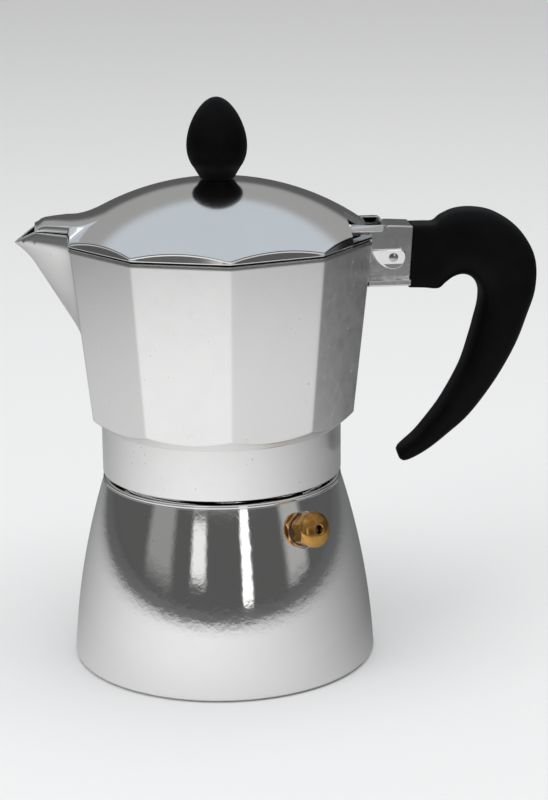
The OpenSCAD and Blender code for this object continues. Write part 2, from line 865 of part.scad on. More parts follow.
// Stations along the handle, from the bracket to the tip. Each has an inner point and an
// outer point in X and Z, measured from the bracket's face at the height of the rim,
// then the half width and the squareness of the section there.
handle_stations = [
    [[-0.7, -15.8], [0.1, 2.3], root_hw, 7],
    [[3.6, -16.0], [3.7, 2.3], root_hw, 7],
    [[7.6, -16.4], [6.7, 2.5], root_hw + 0.2, 5],
    [[9.8, -15.0], [9.0, 4.4], root_hw + 0.8, 3.4],
    [[12.0, -13.4], [13.0, 6.0], grip_hw - 0.9, 3],
    [[14.4, -12.7], [18.0, 6.3], grip_hw - 0.4, 2.8],
    [[16.6, -13.1], [23.8, 5.0], grip_hw, 2.8],
    [[18.4, -14.5], [29.7, 1.3], grip_hw, 2.8],
    [[19.6, -16.5], [33.9, -3.9], grip_hw, 2.8],
    [[20.0, -18.9], [36.1, -9.7], grip_hw, 2.8],
    [[19.7, -22.3], [36.0, -17.3], grip_hw, 2.8],
    [[18.8, -26.1], [33.8, -24.5], grip_hw, 2.8],
    [[17.3, -31.9], [30.4, -33.5], grip_hw, 2.8],
    [[14.6, -40.2], [24.6, -43.9], grip_hw - 0.4, 2.8],
    [[9.5, -49.7], [17.4, -53.6], grip_hw - 0.9, 2.8],
    [[5.0, -55.7], [11.0, -59.6], tip_hw, 2.7],
    [[1.6, -59.7], [5.6, -63.9], tip_hw - 0.4, 2.6],
    [[-1.2, -62.1], [1.4, -66.5], tip_hw - 1, 2.5],
    [[-3.0, -63.6], [-1.5, -67.7], tip_hw - 2, 2.4],
    [[-3.7, -64.7], [-2.9, -67.2], tip_hw - 3.6, 2.2]];

handle_steps = 3;
section_sides = 28;

// Smooth value between b and c, with a and d as their neighbours
function blend(a, b, c, d, t) =
    0.5 * (2 * b + (c - a) * t + (2 * a - 5 * b + 4 * c - d) * t * t
    + (3 * b - a - 3 * c + d) * t * t * t);
function station(i) = handle_stations[max(0, min(len(handle_stations) - 1, i))];
function between(i, t) = [for (k = [0:3])
    blend(station(i - 1)[k], station(i)[k], station(i + 1)[k], station(i + 2)[k], t)];
function signed_pow(v, p) = sign(v) * pow(abs(v), p);

// Closed ring of the handle at a station: a squared ellipse across the line
// from the inner point to the outer point
function handle_ring(st) =
    let (mid = (st[0] + st[1]) / 2, half = (st[1] - st[0]) / 2)
    [for (j = [0:section_sides - 1]) let (a = 360 * (j + 0.5) / section_sides,
        c = signed_pow(cos(a), 2 / st[3]), s = signed_pow(sin(a), 2 / st[3]))
        [mid[0] + half[0] * c, st[2] * s, mid[1] + half[1] * c]];

insert_z = tenon_top_z + 0.4;
handle_insert_r = 2.4;
handle_insert_h = 3;
screw_head_h = 1.6;
head_seat_z = bracket_z + 0.6;
handle_fit = 0.1;

module handle() {
    color("black")
        difference() {
            translate([bracket_x, 0, top_z])
                skin([for (i = [0:len(handle_stations) - 2]) for (k = [0:handle_steps - 1])
                    handle_ring(between(i, k / handle_steps))]);
            // slot for the bracket's tenon
            upright(-tenon_hw - handle_fit, tenon_hw + handle_fit)
                polygon([[bracket_x - 3, tenon_z - handle_fit],
                    [bracket_x + tenon_l + handle_fit, tenon_z - handle_fit],
                    [bracket_x + tenon_l + handle_fit, tenon_top_z + handle_fit],
                    [bracket_x - 3, tenon_top_z + handle_fit]]);
            // screw hole from below, with its counterbore, and the insert's seat
            translate([screw_x, 0, bracket_z - 6])
                cylinder(r = screw_r + screw_gap, h = tenon_top_z - bracket_z + 7);
            translate([screw_x, 0, bracket_z - 6])
                cylinder(r = screw_head_r + screw_gap, h = head_seat_z - bracket_z + 6);
            translate([screw_x, 0, tenon_top_z - 1])
                cylinder(r = handle_insert_r + press_gap,
                    h = insert_z + handle_insert_h - tenon_top_z + 1);
        }
}

module handle_insert() {
    color("goldenrod")
        translate([screw_x, 0, insert_z])
            difference() {
                cylinder(r = handle_insert_r, h = handle_insert_h);
                translate([0, 0, -1])
                    cylinder(r = screw_r + thread_gap, h = handle_insert_h);
            }
}

module handle_screw() {
    color("gray")
        translate([screw_x, 0, head_seat_z])
            union() {
                cylinder(r = screw_r, h = insert_z + handle_insert_h - 1.2 - head_seat_z);
                translate([0, 0, -screw_head_h])
                    cylinder(r = screw_head_r, h = screw_head_h);
            }
}

boiler();
valve_washer();
valve_body();
valve_seat();
valve_poppet();
valve_spring();
funnel();
funnel_sieve();
filter_plate();
gasket();
upper_chamber();
hinge_pin();
handle();
handle_insert();
handle_screw();
lid();
knob();
knob_insert();
knob_washer();
knob_screw();
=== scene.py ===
# %% [markdown]
# # A stovetop moka pot
#
# Three castings make this pot: a boiler, a flat-sided upper chamber that screws onto it,
# and a hinged lid. Between them sit a funnel for the coffee, a thin filter plate and a
# rubber seal. The scene keeps the measured solids as a frame and dresses them.

# %% Load the frame
from math import atan2, cos, pi, radians, sin, sqrt

import bmesh
import bpy
import numpy as np
from mathutils import Matrix, Vector


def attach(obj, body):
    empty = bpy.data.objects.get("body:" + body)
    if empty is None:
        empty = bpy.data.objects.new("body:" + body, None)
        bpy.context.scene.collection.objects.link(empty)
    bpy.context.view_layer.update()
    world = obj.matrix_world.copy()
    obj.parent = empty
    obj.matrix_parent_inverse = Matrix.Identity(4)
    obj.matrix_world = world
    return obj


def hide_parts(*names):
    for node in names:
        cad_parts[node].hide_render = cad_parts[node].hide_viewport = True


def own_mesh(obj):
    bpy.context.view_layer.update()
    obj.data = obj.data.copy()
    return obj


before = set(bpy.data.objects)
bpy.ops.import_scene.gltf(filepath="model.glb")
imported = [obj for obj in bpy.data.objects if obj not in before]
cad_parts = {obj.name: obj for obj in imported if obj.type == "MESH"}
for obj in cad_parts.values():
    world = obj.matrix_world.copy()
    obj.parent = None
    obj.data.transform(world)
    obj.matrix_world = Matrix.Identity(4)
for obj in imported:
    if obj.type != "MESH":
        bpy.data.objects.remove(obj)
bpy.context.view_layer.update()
MM = 0.001
UP = (0, 0, 1)
print("solids in the frame:", ", ".join(sorted(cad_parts)))

# %% [markdown]
# ## The camera
#
# The pot is seen from a little above, almost square on to the side that carries the
# safety valve. A long lens keeps its upright edges nearly parallel.

# %% Place the camera
azimuth, elevation, roll = radians(-5.4), radians(15.35), radians(-0.58)
target = Vector((15.3, 0, 74.4)) * MM
distance = 610 * MM
back = Vector((sin(azimuth) * cos(elevation), -cos(azimuth) * cos(elevation), sin(elevation)))
lens = bpy.data.cameras.new("camera")
lens.sensor_width = 36
lens.lens = 2115 * 36 / 800
lens.clip_start, lens.clip_end = 0.05, 50
camera = bpy.data.objects.new("camera", lens)
camera.location = target + back * distance
turn = back.to_track_quat("Z", "Y").to_matrix().to_4x4()
camera.matrix_world = Matrix.Translation(camera.location) @ turn @ Matrix.Rotation(roll, 4, "Z")
bpy.context.scene.collection.objects.link(camera)
bpy.context.scene.camera = camera
print("camera at", [round(v, 3) for v in camera.location], "lens", round(lens.lens, 1), "mm")

# %% [markdown]
# ## Shader maths
#
# Every finish is a small network of nodes. These two classes let the network be written
# as plain sums: `Value` is one number that changes over the surface, and `Finish` is a
# material with a helper for each kind of node that the pot needs.

# %% Write shader maths as sums
def one_sum(operation, swapped=False):
    """An operator that adds one Math node."""
    def add_node(value, other):
        first, second = (other, value) if swapped else (value, other)
        return value.finish.math(operation, first, second)
    return add_node


class Value:
    """A number that changes over a surface, for use in sums."""

    def __init__(self, finish, socket):
        self.finish, self.socket = finish, socket

    def __neg__(self):
        return self.finish.math("MULTIPLY", self, -1.0)

    __add__, __radd__ = one_sum("ADD"), one_sum("ADD", True)
    __sub__, __rsub__ = one_sum("SUBTRACT"), one_sum("SUBTRACT", True)
    __mul__, __rmul__ = one_sum("MULTIPLY"), one_sum("MULTIPLY", True)


class Finish:
    """A node tree, and short ways to add to it."""

    def __init__(self, tree):
        self.tree = tree
        tree.nodes.clear()

    def node(self, kind, inputs=None, output=0, **settings):
        made = self.tree.nodes.new(kind)
        for name, value in settings.items():
            setattr(made, name, value)
        for name, value in (inputs or {}).items():
            self.feed(made.inputs[name], value)
        return Value(self, made.outputs[output]) if made.outputs else made

    def feed(self, socket, value):
        if isinstance(value, Value):
            self.tree.links.new(value.socket, socket)
        else:
            socket.default_value = value

    def math(self, operation, a, b=0.0):
        return self.node("ShaderNodeMath", {0: a, 1: b}, operation=operation)

    def smooth(self, value, low, high, to_low=0.0, to_high=1.0):
        """A value that eases from to_low to to_high as the input goes from low to high."""
        return self.node("ShaderNodeMapRange", {
            "Value": value, "From Min": low, "From Max": high,
            "To Min": to_low, "To Max": to_high}, interpolation_type="SMOOTHSTEP")

    def band(self, value, low, high, soft):
        """1 between low and high, 0 outside, with soft edges."""
        return (self.smooth(value, low - soft, low + soft)
                * self.smooth(value, high - soft, high + soft, 1.0, 0.0))

    def mix(self, share, a, b):
        """A colour between a and b."""
        return self.node("ShaderNodeMix", {0: share, 6: a, 7: b}, 2, data_type="RGBA")

    def parts(self, vector):
        """The three numbers of a vector."""
        split = self.node("ShaderNodeSeparateXYZ", {0: vector}).socket.node
        return [Value(self, output) for output in split.outputs]

    def ray(self, kind):
        """1 for rays of one kind, such as glossy ones, and 0 for the rest."""
        return self.node("ShaderNodeLightPath", output=f"Is {kind} Ray")

    def place(self, stretch=(1, 1, 1)):
        """The point on the object, in metres, stretched before a texture reads it."""
        point = self.node("ShaderNodeTexCoord", output="Object")
        return self.node("ShaderNodeMapping", {"Vector": point, "Scale": stretch})

    def noise(self, size, detail, rough=0.5, at=None):
        """Cloudy noise, with clouds about size metres across."""
        return self.node("ShaderNodeTexNoise", {
            "Vector": at or self.place(), "Scale": 1 / size, "Detail": detail,
            "Roughness": rough})

    def cells(self, size):
        """Distance to scattered points about size metres apart."""
        return self.node("ShaderNodeTexVoronoi", {"Vector": self.place(), "Scale": 1 / size})

    def axes(self):
        """The three coordinates of the point on the object."""
        return self.parts(self.place())

    def bump(self, height, depth, strength=1.0, under=None):
        """Surface relief: height from 0 to 1 stands for depth metres."""
        inputs = {"Height": height, "Distance": depth, "Strength": strength}
        if under is not None:
            inputs["Normal"] = under
        return self.node("ShaderNodeBump", inputs)


def material(name, **sockets):
    """A material whose surface is one principled shader."""
    made = bpy.data.materials.new(name)
    made.use_nodes = True
    finish = Finish(made.node_tree)
    surface = finish.node("ShaderNodeBsdfPrincipled")
    finish.node("ShaderNodeOutputMaterial", {"Surface": surface})
    finish.shader, finish.material = surface.socket.node, made
    coat(finish, **sockets)
    return finish


def coat(finish, **sockets):
    """Sets or feeds sockets of a material's shader, with _ for a space in their names."""
    for name, value in sockets.items():
        finish.feed(finish.shader.inputs[name.replace("_", " ")], value)


# %% [markdown]
# ## Light and surroundings
#
# Polished metal shows little but its surroundings, so they matter more than the lamps.
# The pot stands in a plain studio: a pale floor, walls that are dark below and grey
# above, and a pale ceiling. A few soft boxes stand round it, because a curved mirror
# looks like metal only where light meets dark. Compass angles count from the front, with
# 90 on the handle's side. Only reflected rays see the studio: the camera and the soft
# daylight see a plain pale one.

# %% Build the studio that the metal reflects
bpy.context.scene.view_settings.view_transform = "Standard"
world = bpy.data.worlds.new("studio")
bpy.context.scene.world = world
world.use_nodes = True
room = Finish(world.node_tree)

TO_DEGREES = 180 / pi
LOWER_WALL, UPPER_WALL, CEILING = 0.1, 0.35, (0.55, 0.6, 0.65)
UPPER_WALL_FROM, CEILING_FROM = (14, 20), (36, 44)
DAYLIGHT = 0.6
BACKDROP_LOW, BACKDROP_HIGH, BACKDROP_RISE = 0.5, 0.93, (-1, 16)

# Each soft box: its middle, half size and soft edge, across and up in degrees, and its tone.
SOFT_BOXES = {
    "strip lamp": ((15, 10), (4, 12), (1, 4), 1.4),
    "window": ((-25, 9), (6, 5), (2, 2), 0.9),
    "side screen": ((60, 8), (10, 8), (4, 3), 0.4),
    "back screen": ((-60, 10), (12, 8), (4, 3), 0.3),
    "overhead lamp": ((-40, 62), (20, 6), (8, 4), 1.3),
}


def grey(tone):
    """A colour from a grey, or from red, green and blue."""
    return (*(tone if isinstance(tone, tuple) else (tone,) * 3), 1)


def compass(finish, x, y):
    """Angle round the pot in degrees: 0 in front, 90 on the handle's side."""
    return finish.math("ARCTAN2", x, -y) * TO_DEGREES


def hang_box(at, middle, half, soft, tone, under):
    """Lays one soft box over what lies behind it."""
    mask = 1.0
    for value, centre, size, edge in zip(at, middle, half, soft):
        mask = room.band(value, centre - size, centre + size, edge) * mask
    return room.mix(mask, under, grey(tone))


def paint_room():
    x, y, z = room.parts(room.node("ShaderNodeTexCoord", output="Generated"))
    height = room.math("ARCSINE", z) * TO_DEGREES
    studio = room.mix(room.smooth(height, *UPPER_WALL_FROM), grey(LOWER_WALL), grey(UPPER_WALL))
    studio = room.mix(room.smooth(height, *CEILING_FROM), studio, grey(CEILING))
    for box in SOFT_BOXES.values():
        studio = hang_box((compass(room, x, y), height), *box, studio)
    backdrop = room.mix(room.smooth(height, *BACKDROP_RISE), grey(BACKDROP_LOW),
                        grey(BACKDROP_HIGH))
    colour = room.mix(room.ray("Glossy"), grey(DAYLIGHT), studio)
    colour = room.mix(room.ray("Camera"), colour, backdrop)
    background = room.node("ShaderNodeBackground", {"Color": colour, "Strength": 1.0})
    room.node("ShaderNodeOutputWorld", {"Surface": background})


paint_room()
print("the studio has", len(SOFT_BOXES), "soft boxes")

# %% [markdown]
# ## The floor
#
# A broad pale sheet that takes the pot's soft shadow. The camera sees it plain. In the
# metal it shows painted light: for reflected rays its colour is painted brightest on the
# key light's side and painted darker further out, down to the dark of the lower walls,
# which gives each flat side of the chamber a tone of its own.

# %% Lay the floor
FLOOR_TONE = 0.86
KEY_ANGLE = -25
FLOOR_MEAN, FLOOR_SWING = 0.5, 0.35
FADE_FROM, FADE_TO = 0.2, 0.6


def stage_floor():
    mesh = bpy.data.meshes.new("floor")
    grid = bmesh.new()
    bmesh.ops.create_grid(grid, x_segments=8, y_segments=8, size=12)
    grid.to_mesh(mesh)
    grid.free()
    floor = bpy.data.objects.new("floor", mesh)
    floor.location.z = -0.0002
    bpy.context.scene.collection.objects.link(floor)
    finish = material("floor_paper", Roughness=0.85)
    x, y, _ = finish.axes()
    away = finish.math("SQRT", x * x + y * y)
    # Painted light: for reflected rays the floor is painted brighter towards the key light and
    # darker further out.
    from_key = (compass(finish, x, y) - KEY_ANGLE) * (1 / TO_DEGREES)
    painted_light = FLOOR_MEAN + FLOOR_SWING * finish.math("COSINE", from_key)
    seen = finish.mix(finish.smooth(away, FADE_FROM, FADE_TO), painted_light, grey(LOWER_WALL))
    coat(finish, Base_Color=finish.mix(finish.ray("Glossy"), grey(FLOOR_TONE), seen),
         Normal=finish.bump(finish.noise(0.004, 3), 0.0002, 0.3))
    floor.data.materials.append(finish.material)
    return floor


floor = stage_floor()
print("floor is", round(floor.dimensions.x, 1), "m wide")

# %% Hang the lamps
def lamp(name, place, aim, size, power, colour=(1, 1, 1)):
    light = bpy.data.lights.new(name, "AREA")
    light.shape = "RECTANGLE"
    light.size, light.size_y = size
    light.energy, light.color = power, colour
    made = bpy.data.objects.new(name, light)
    made.location = place
    way = Vector(aim) - Vector(place)
    made.rotation_euler = way.to_track_quat("-Z", "Y").to_euler()
    bpy.context.scene.collection.objects.link(made)
    made.visible_glossy = False
    made.visible_camera = False
    return made


lamps = [
    lamp("ceiling_lamp", (0.1, -0.3, 1.6), (0, 0, 0.08), (1.6, 1.6), 14, (0.97, 0.985, 1)),
    lamp("side_lamp", (-1.2, -0.9, 0.9), (0, 0, 0.08), (0.9, 0.9), 5),
]
print("lamps:", ", ".join(each.name for each in lamps))

# %% [markdown]
# ## Metals
#
# The castings are aluminium. The boiler and the lid are polished to a mirror on a wheel,
# which leaves faint ripples and pits. The flat sides are polished less, and the inside
# has the same finish as them. The sheet parts are spun on a lathe.

# %% Mix the metals
SPOUT_SIDE_X = -0.042
# Painted shade in the gap under the lid's edge: the soft edge and the tone of its band.
GAP_SHADE_SOFT = 0.0001
GAP_SHADE_TONE = (0.03, 0.028, 0.026, 1)
# Where the lid's low step by the hinge is painted darker, as painted shade, and the tone it gets.
HINGE_SIDE_X, HINGE_EDGE_Z = 0.0354, 0.12445
HINGE_SHADE_TONE = (0.16, 0.16, 0.155, 1)


def aluminium(name, rough, ripple, pits, tint=(0.90, 0.895, 0.885, 1), lathe=0.0,
              brushed=0.0, joint=None):
    """Cast aluminium: rough is its polish, ripple the wheel's waviness in metres, and brushed
    how far an upright brush spreads its reflections sideways. The lid's material also takes
    two heights, in mm, between which painted shade darkens the gap under the lid's edge,
    and its low step by the hinge is painted darker too, as painted shade."""
    finish = material(name, Metallic=1.0, Anisotropic=brushed)
    clouds = finish.noise(0.012, 4, 0.6)
    patchy = finish.noise(0.0035, 5, 0.65)
    specks = finish.smooth(finish.cells(0.0022), 0.04, 0.11, 1.0, 0.0)
    rare = finish.smooth(finish.noise(0.009, 2), 0.56, 0.66)
    specks = specks * rare
    tone_and_shade = finish.mix(clouds, tint, tuple(c * 0.965 for c in tint[:3]) + (1,))
    tone_and_shade = finish.mix(specks * 0.45, tone_and_shade, (0.45, 0.44, 0.42, 1))
    if joint:
        x, _, z = finish.axes()
        up = finish.parts(finish.node("ShaderNodeTexCoord", output="Normal"))[2]
        off_spout = finish.smooth(x, SPOUT_SIDE_X - 0.0005, SPOUT_SIDE_X + 0.0005)
        off_underside = finish.smooth(up, -0.95, -0.8)
        # Painted shade: a dark band between the two heights stands in for the shadowed gap under the
        # lid's edge.
        darkening = finish.band(z, joint[0] * MM, joint[1] * MM, GAP_SHADE_SOFT)
        tone_and_shade = finish.mix(darkening * off_spout * off_underside, tone_and_shade, GAP_SHADE_TONE)
        # Painted shade: the low step on the hinge side is painted darker.
        low = finish.smooth(z, HINGE_EDGE_Z - 0.00015, HINGE_EDGE_Z + 0.00015, 1.0, 0.0)
        hinge_side = finish.smooth(x, HINGE_SIDE_X - 0.0002, HINGE_SIDE_X + 0.0002)
        tone_and_shade = finish.mix(low * hinge_side, tone_and_shade, HINGE_SHADE_TONE)
    coat(finish, Base_Color=tone_and_shade, Roughness=rough * (0.75 + 0.5 * patchy) + specks * 0.15)
    relief = finish.bump(finish.noise(0.0021, 3, 0.6), ripple)
    if brushed:
        lines = finish.noise(0.0009, 2, 0.6, finish.place((1, 1, 0.03)))
        relief = finish.bump(lines, 0.0000015, under=relief)
    if lathe:
        rings = finish.node("ShaderNodeTexNoise", {
            "Vector": finish.place((0.001, 0.001, 1)), "Scale": 2600, "Detail": 2.0})
        relief = finish.bump(rings, lathe, under=relief)
    if pits:
        relief = finish.bump(1.0 - specks, pits, under=relief)
    coat(finish, Normal=relief)
    return finish


boiler_metal = aluminium("polished_boiler", 0.05, 0.00002, 0)
chamber_metal = aluminium("satin_chamber", 0.25, 0.000004, 0.00002, (0.94, 0.935, 0.925, 1),
                          brushed=0.98)
# The lid's material paints shade into the gap under its edge and onto its low step by the hinge.
lid_metal = aluminium("polished_lid", 0.12, 0.000006, 0.00001, joint=(122, 123.42))
hinge_metal = aluminium("polished_hinge", 0.15, 0.00002, 0)
print("metals:", boiler_metal.material.name, chamber_metal.material.name, lid_metal.material.name)


def steel(name, rough=0.18, tint=(0.62, 0.61, 0.59, 1)):
    """Turned steel, with fine rings from the tool."""
    finish = material(name, Metallic=1.0)
    scuffs = finish.noise(0.0012, 4, 0.7)
    coat(finish, Base_Color=finish.mix(scuffs, tint, tuple(c * 0.82 for c in tint[:3]) + (1,)),
         Roughness=rough * (0.7 + 0.6 * scuffs),
         Normal=finish.bump(finish.noise(0.0004, 2), 0.000008))
    return finish


def brass():
    """Turned brass, darker where hands and steam have dulled it."""
    finish = material("turned_brass", Metallic=1.0)
    darkening = finish.smooth(finish.noise(0.0035, 4, 0.6), 0.35, 0.7)
    coat(finish, Base_Color=finish.mix(darkening, (0.66, 0.36, 0.10, 1), (0.40, 0.19, 0.05, 1)),
         Roughness=0.16 + 0.16 * darkening,
         Normal=finish.bump(finish.noise(0.0007, 3), 0.00001))
    return finish


def black_plastic():
    """Moulded thermoset: black, with a soft sheen and the mould's fine grain."""
    finish = material("moulded_plastic", IOR=1.45, Specular_IOR_Level=0.1)
    grain = finish.noise(0.0005, 3, 0.6)
    wear = finish.smooth(finish.noise(0.014, 4, 0.6), 0.4, 0.75)
    coat(finish, Base_Color=finish.mix(wear, (0.002, 0.002, 0.0022, 1), (0.0034, 0.0034, 0.0038, 1)),
         Roughness=0.38 + 0.12 * wear,
         Normal=finish.bump(grain, 0.00001))
    return finish


def rubber(name, tint, rough=0.55):
    """Soft seal with a matt, slightly mottled skin."""
    finish = material(name)
    mottle = finish.noise(0.004, 4)
    coat(finish, Base_Color=finish.mix(mottle, tint, tuple(c * 0.82 for c in tint[:3]) + (1,)),
         Roughness=rough, Normal=finish.bump(finish.noise(0.0006, 3), 0.00002))
    return finish


steel_metal, spring_metal = steel("turned_steel"), steel("spring_wire", 0.25, (0.5, 0.49, 0.47, 1))
brass_metal, plastic = brass(), black_plastic()
seal_rubber = rubber("white_seal", (0.78, 0.77, 0.72, 1))
fibre = rubber("dark_fibre", (0.07, 0.045, 0.035, 1), 0.8)
sheet_metal = aluminium("spun_sheet", 0.2, 0.00001, 0, lathe=0.00001)
finishes = {
    "boiler": boiler_metal, "upper_chamber": chamber_metal, "lid": lid_metal,
    "funnel": sheet_metal, "funnel_sieve": sheet_metal, "filter_plate": sheet_metal,
    "gasket": seal_rubber, "valve_washer": fibre, "valve_body": brass_metal,
    "valve_seat": brass_metal, "valve_poppet": steel_metal, "valve_spring": spring_metal,
    "hinge_pin": steel_metal, "handle": plastic, "handle_insert": brass_metal,
    "handle_screw": steel_metal, "knob": plastic, "knob_insert": brass_metal,
    "knob_washer": steel_metal, "knob_screw": steel_metal}
for name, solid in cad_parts.items():
    solid.data.materials.clear()
    solid.data.materials.append(finishes[name].material)
print("finishes on", len(finishes), "solids")

# %% [markdown]
# ## How the pieces are built
#
# Each casting is a skin of rings. A lathe would turn a round ring, and here the ring may
# also be flat-sided, or pushed out into a spout, so one builder serves every casting.

# %% Write the mesh builders
def arc_of(centre, radius, start, end, count):
    """Points on an arc, as (across, up), with angles in degrees."""
    return [(centre[0] + radius * cos(radians(a)), centre[1] + radius * sin(radians(a)))
            for a in np.linspace(start, end, count)]


def join_rings(grid, rings, closed=False):
    """Lays faces between neighbouring rings. A ring of one point is a pole."""
    pairs = list(zip(rings, rings[1:])) + ([(rings[-1], rings[0])] if closed else [])
    for low, high in pairs:
        count = max(len(low), len(high))
        for j in range(count):
            k = (j + 1) % count
            corners = dict.fromkeys([low[j % len(low)], low[k % len(low)],
                                     high[k % len(high)], high[j % len(high)]])
            if len(corners) > 2:
                grid.faces.new(list(corners))
    return grid


def lathe(rows, angles, closed=False):
    """A skin round the pot's axis. A row is a radius and a height, each one number or
    one for every angle, in mm."""
    grid = bmesh.new()
    rings = []
    for radius, height in rows:
        if np.ndim(radius) == 0 and radius == 0:
            rings.append([grid.verts.new((0, 0, height * MM))])
            continue
        x, y = radius * np.cos(angles), radius * np.sin(angles)
        z = np.broadcast_to(height, angles.shape)
        rings.append([grid.verts.new(Vector(p) * MM) for p in zip(x, y, z)])
    return join_rings(grid, rings, closed)


def loft(rings):
    """A skin through rings of points in mm, closed at both ends."""
    grid = bmesh.new()
    made = [[grid.verts.new(Vector(p) * MM) for p in ring] for ring in rings]
    join_rings(grid, made)
    grid.faces.new(list(reversed(made[0])))
    grid.faces.new(made[-1])
    return grid


def prism(outline, y0, y1, edge, steps=2):
    """An outline in X and Z, given a thickness along Y, with its edges rounded."""
    grid = loft([[(x, y, z) for x, z in outline] for y in (y0, y1)])
    bmesh.ops.recalc_face_normals(grid, faces=grid.faces)
    if edge:
        sharp = [e for e in grid.edges if e.calc_face_angle(0) > 0.35]
        bmesh.ops.bevel(grid, geom=sharp, offset=edge * MM, segments=steps, profile=0.5,
                        affect="EDGES", clamp_overlap=True)
    return grid


def slab(x0, x1, z0, z1, y0, y1, edge=0.3):
    """A block from corner to corner, with its edges rounded."""
    return prism([(x0, z0), (x1, z0), (x1, z1), (x0, z1)], y0, y1, edge)


def solid(name, grid, keep=30):
    """An object from a skin, smooth except along edges sharper than keep degrees."""
    bmesh.ops.recalc_face_normals(grid, faces=grid.faces)
    mesh = bpy.data.meshes.new(name)
    grid.to_mesh(mesh)
    grid.free()
    made = bpy.data.objects.new(name, mesh)
    bpy.context.scene.collection.objects.link(made)
    shade(made, keep)
    return made


def shade(made, keep):
    grid = bmesh.new()
    grid.from_mesh(made.data)
    for face in grid.faces:
        face.smooth = True
    for edge in grid.edges:
        edge.smooth = edge.calc_face_angle(0) < radians(keep)
    grid.to_mesh(made.data)
    grid.free()


def cut(made, tools, keep=30):
    """Cuts tools out of an object, and leaves a plain mesh."""
    for tool in tools:
        change = made.modifiers.new("cut", "BOOLEAN")
        change.object, change.operation, change.solver = tool, "DIFFERENCE", "EXACT"
        bpy.context.view_layer.update()
        seen = made.evaluated_get(bpy.context.evaluated_depsgraph_get())
        mesh = bpy.data.meshes.new_from_object(seen)
        made.modifiers.clear()
        made.data = mesh
        bpy.data.objects.remove(tool)
    shade(made, keep)
    return made


def drilled(name, parts, holes, keep):
    """One piece from parts that overlap, each drilled by itself so that none is lost."""
    whole = bmesh.new()
    for part in parts:
        made = cut(solid(name, part), [rod(*hole) for hole in holes], keep)
        whole.from_mesh(made.data)
        bpy.data.objects.remove(made)
    return solid(name, whole, keep)


def stand(thing, place, way):
    """Stands a skin or mesh that was turned round Z on a place in mm, along another way."""
    turned = Vector(way).to_track_quat("Z", "Y").to_matrix().to_4x4()
    thing.transform(Matrix.Translation(Vector(place) * MM) @ turned)
    return thing


def rod(start, way, radius, length, sides=48):
    """A plain round tool for drilling, from start along way, in mm."""
    grid = bmesh.new()
    bmesh.ops.create_cone(grid, cap_ends=True, segments=sides, radius1=radius * MM,
                          radius2=radius * MM, depth=length * MM)
    middle = Vector(start) + Vector(way).normalized() * (length / 2)
    return solid("tool", stand(grid, middle, way))


def dress(made, finish, body, node):
    """Gives a piece its finish and its body, and hides the solid it stands for."""
    made.data.materials.clear()
    made.data.materials.append(finish.material)
    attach(made, body)
    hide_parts(node)
    return made


def smooth_min(a, b, soft):
    share = np.clip(0.5 + 0.5 * (b - a) / soft, 0, 1)
    return b * (1 - share) + a * share - soft * share * (1 - share)


def smooth_max(a, b, soft):
    return -smooth_min(-np.asarray(a), -np.asarray(b), soft)


ROUND = np.linspace(0, 2 * pi, 192, endpoint=False)
print("round rings have", len(ROUND), "points")

# %% [markdown]
# ## The pot's sizes
#
# These are the measured solids' sizes, in millimetres, with +Z up from the base and the
# handle on +X.

# %% Write down the sizes
base_r, collar_r, foot_r, rim_r = 44.0, 34.4, 38.8, 44.1
bell_h, rim_z, collar_z = 52.8, 65.7, 55.3
ceiling_z, floor_z = 70.0, 73.8
ledge_z, foot_z, top_z = 69.8, 73.5, 122.9
lid_z, dome_z, dome_h, knob_z = 123.2, 124.3, 15.0, 139.45
wall_x = rim_r * cos(pi / 10)
taper = (rim_r - foot_r) / (top_z - foot_z)
dome_r = (rim_r ** 2 + dome_h ** 2) / (2 * dome_h)
dome_c = dome_z + dome_h - dome_r
pin_x, pin_z = wall_x + 6.7, top_z - 5.9
bracket_x, screw_x = wall_x + 12.7, wall_x + 16.2
pin_hole_r, pin_hole = 1.37, ((pin_x, -12, pin_z), (0, 1, 0))
valve_place = (20.505, -30.4, 45.0)
valve_way = (0.539528, -0.799883, 0.262863)
print("flat sides stand", round(wall_x, 2), "mm from the axis at the rim")

# %% [markdown]
# ## The boiler
#
# A thick aluminium casting with a bell shape that stands firmly and spreads the flame's
# heat. A bead rounds its shoulder, and the neck above it carries a coarse thread. The
# bell is polished, and the neck and the inside take the same polished finish.

# %% Build the boiler
def bell(z, inset=0.0):
    """Radius of the bell at a height."""
    t = z / bell_h
    return base_r + (collar_r - base_r) * t + 4 * 1.7 * t * (1 - t) - inset


def thread(z, angles, low, high, pitch, depth):
    """A rounded screw thread that fades in at both ends."""
    phase = (z / pitch - angles / (2 * pi)) % 1
    ridge = np.clip(1.6 * (0.5 + 0.5 * np.cos(2 * pi * phase)) - 0.3, 0, 1)
    ends = np.clip((z - low) / 1.2, 0, 1) * np.clip((high - z) / 1.2, 0, 1)
    return depth * ridge * ends


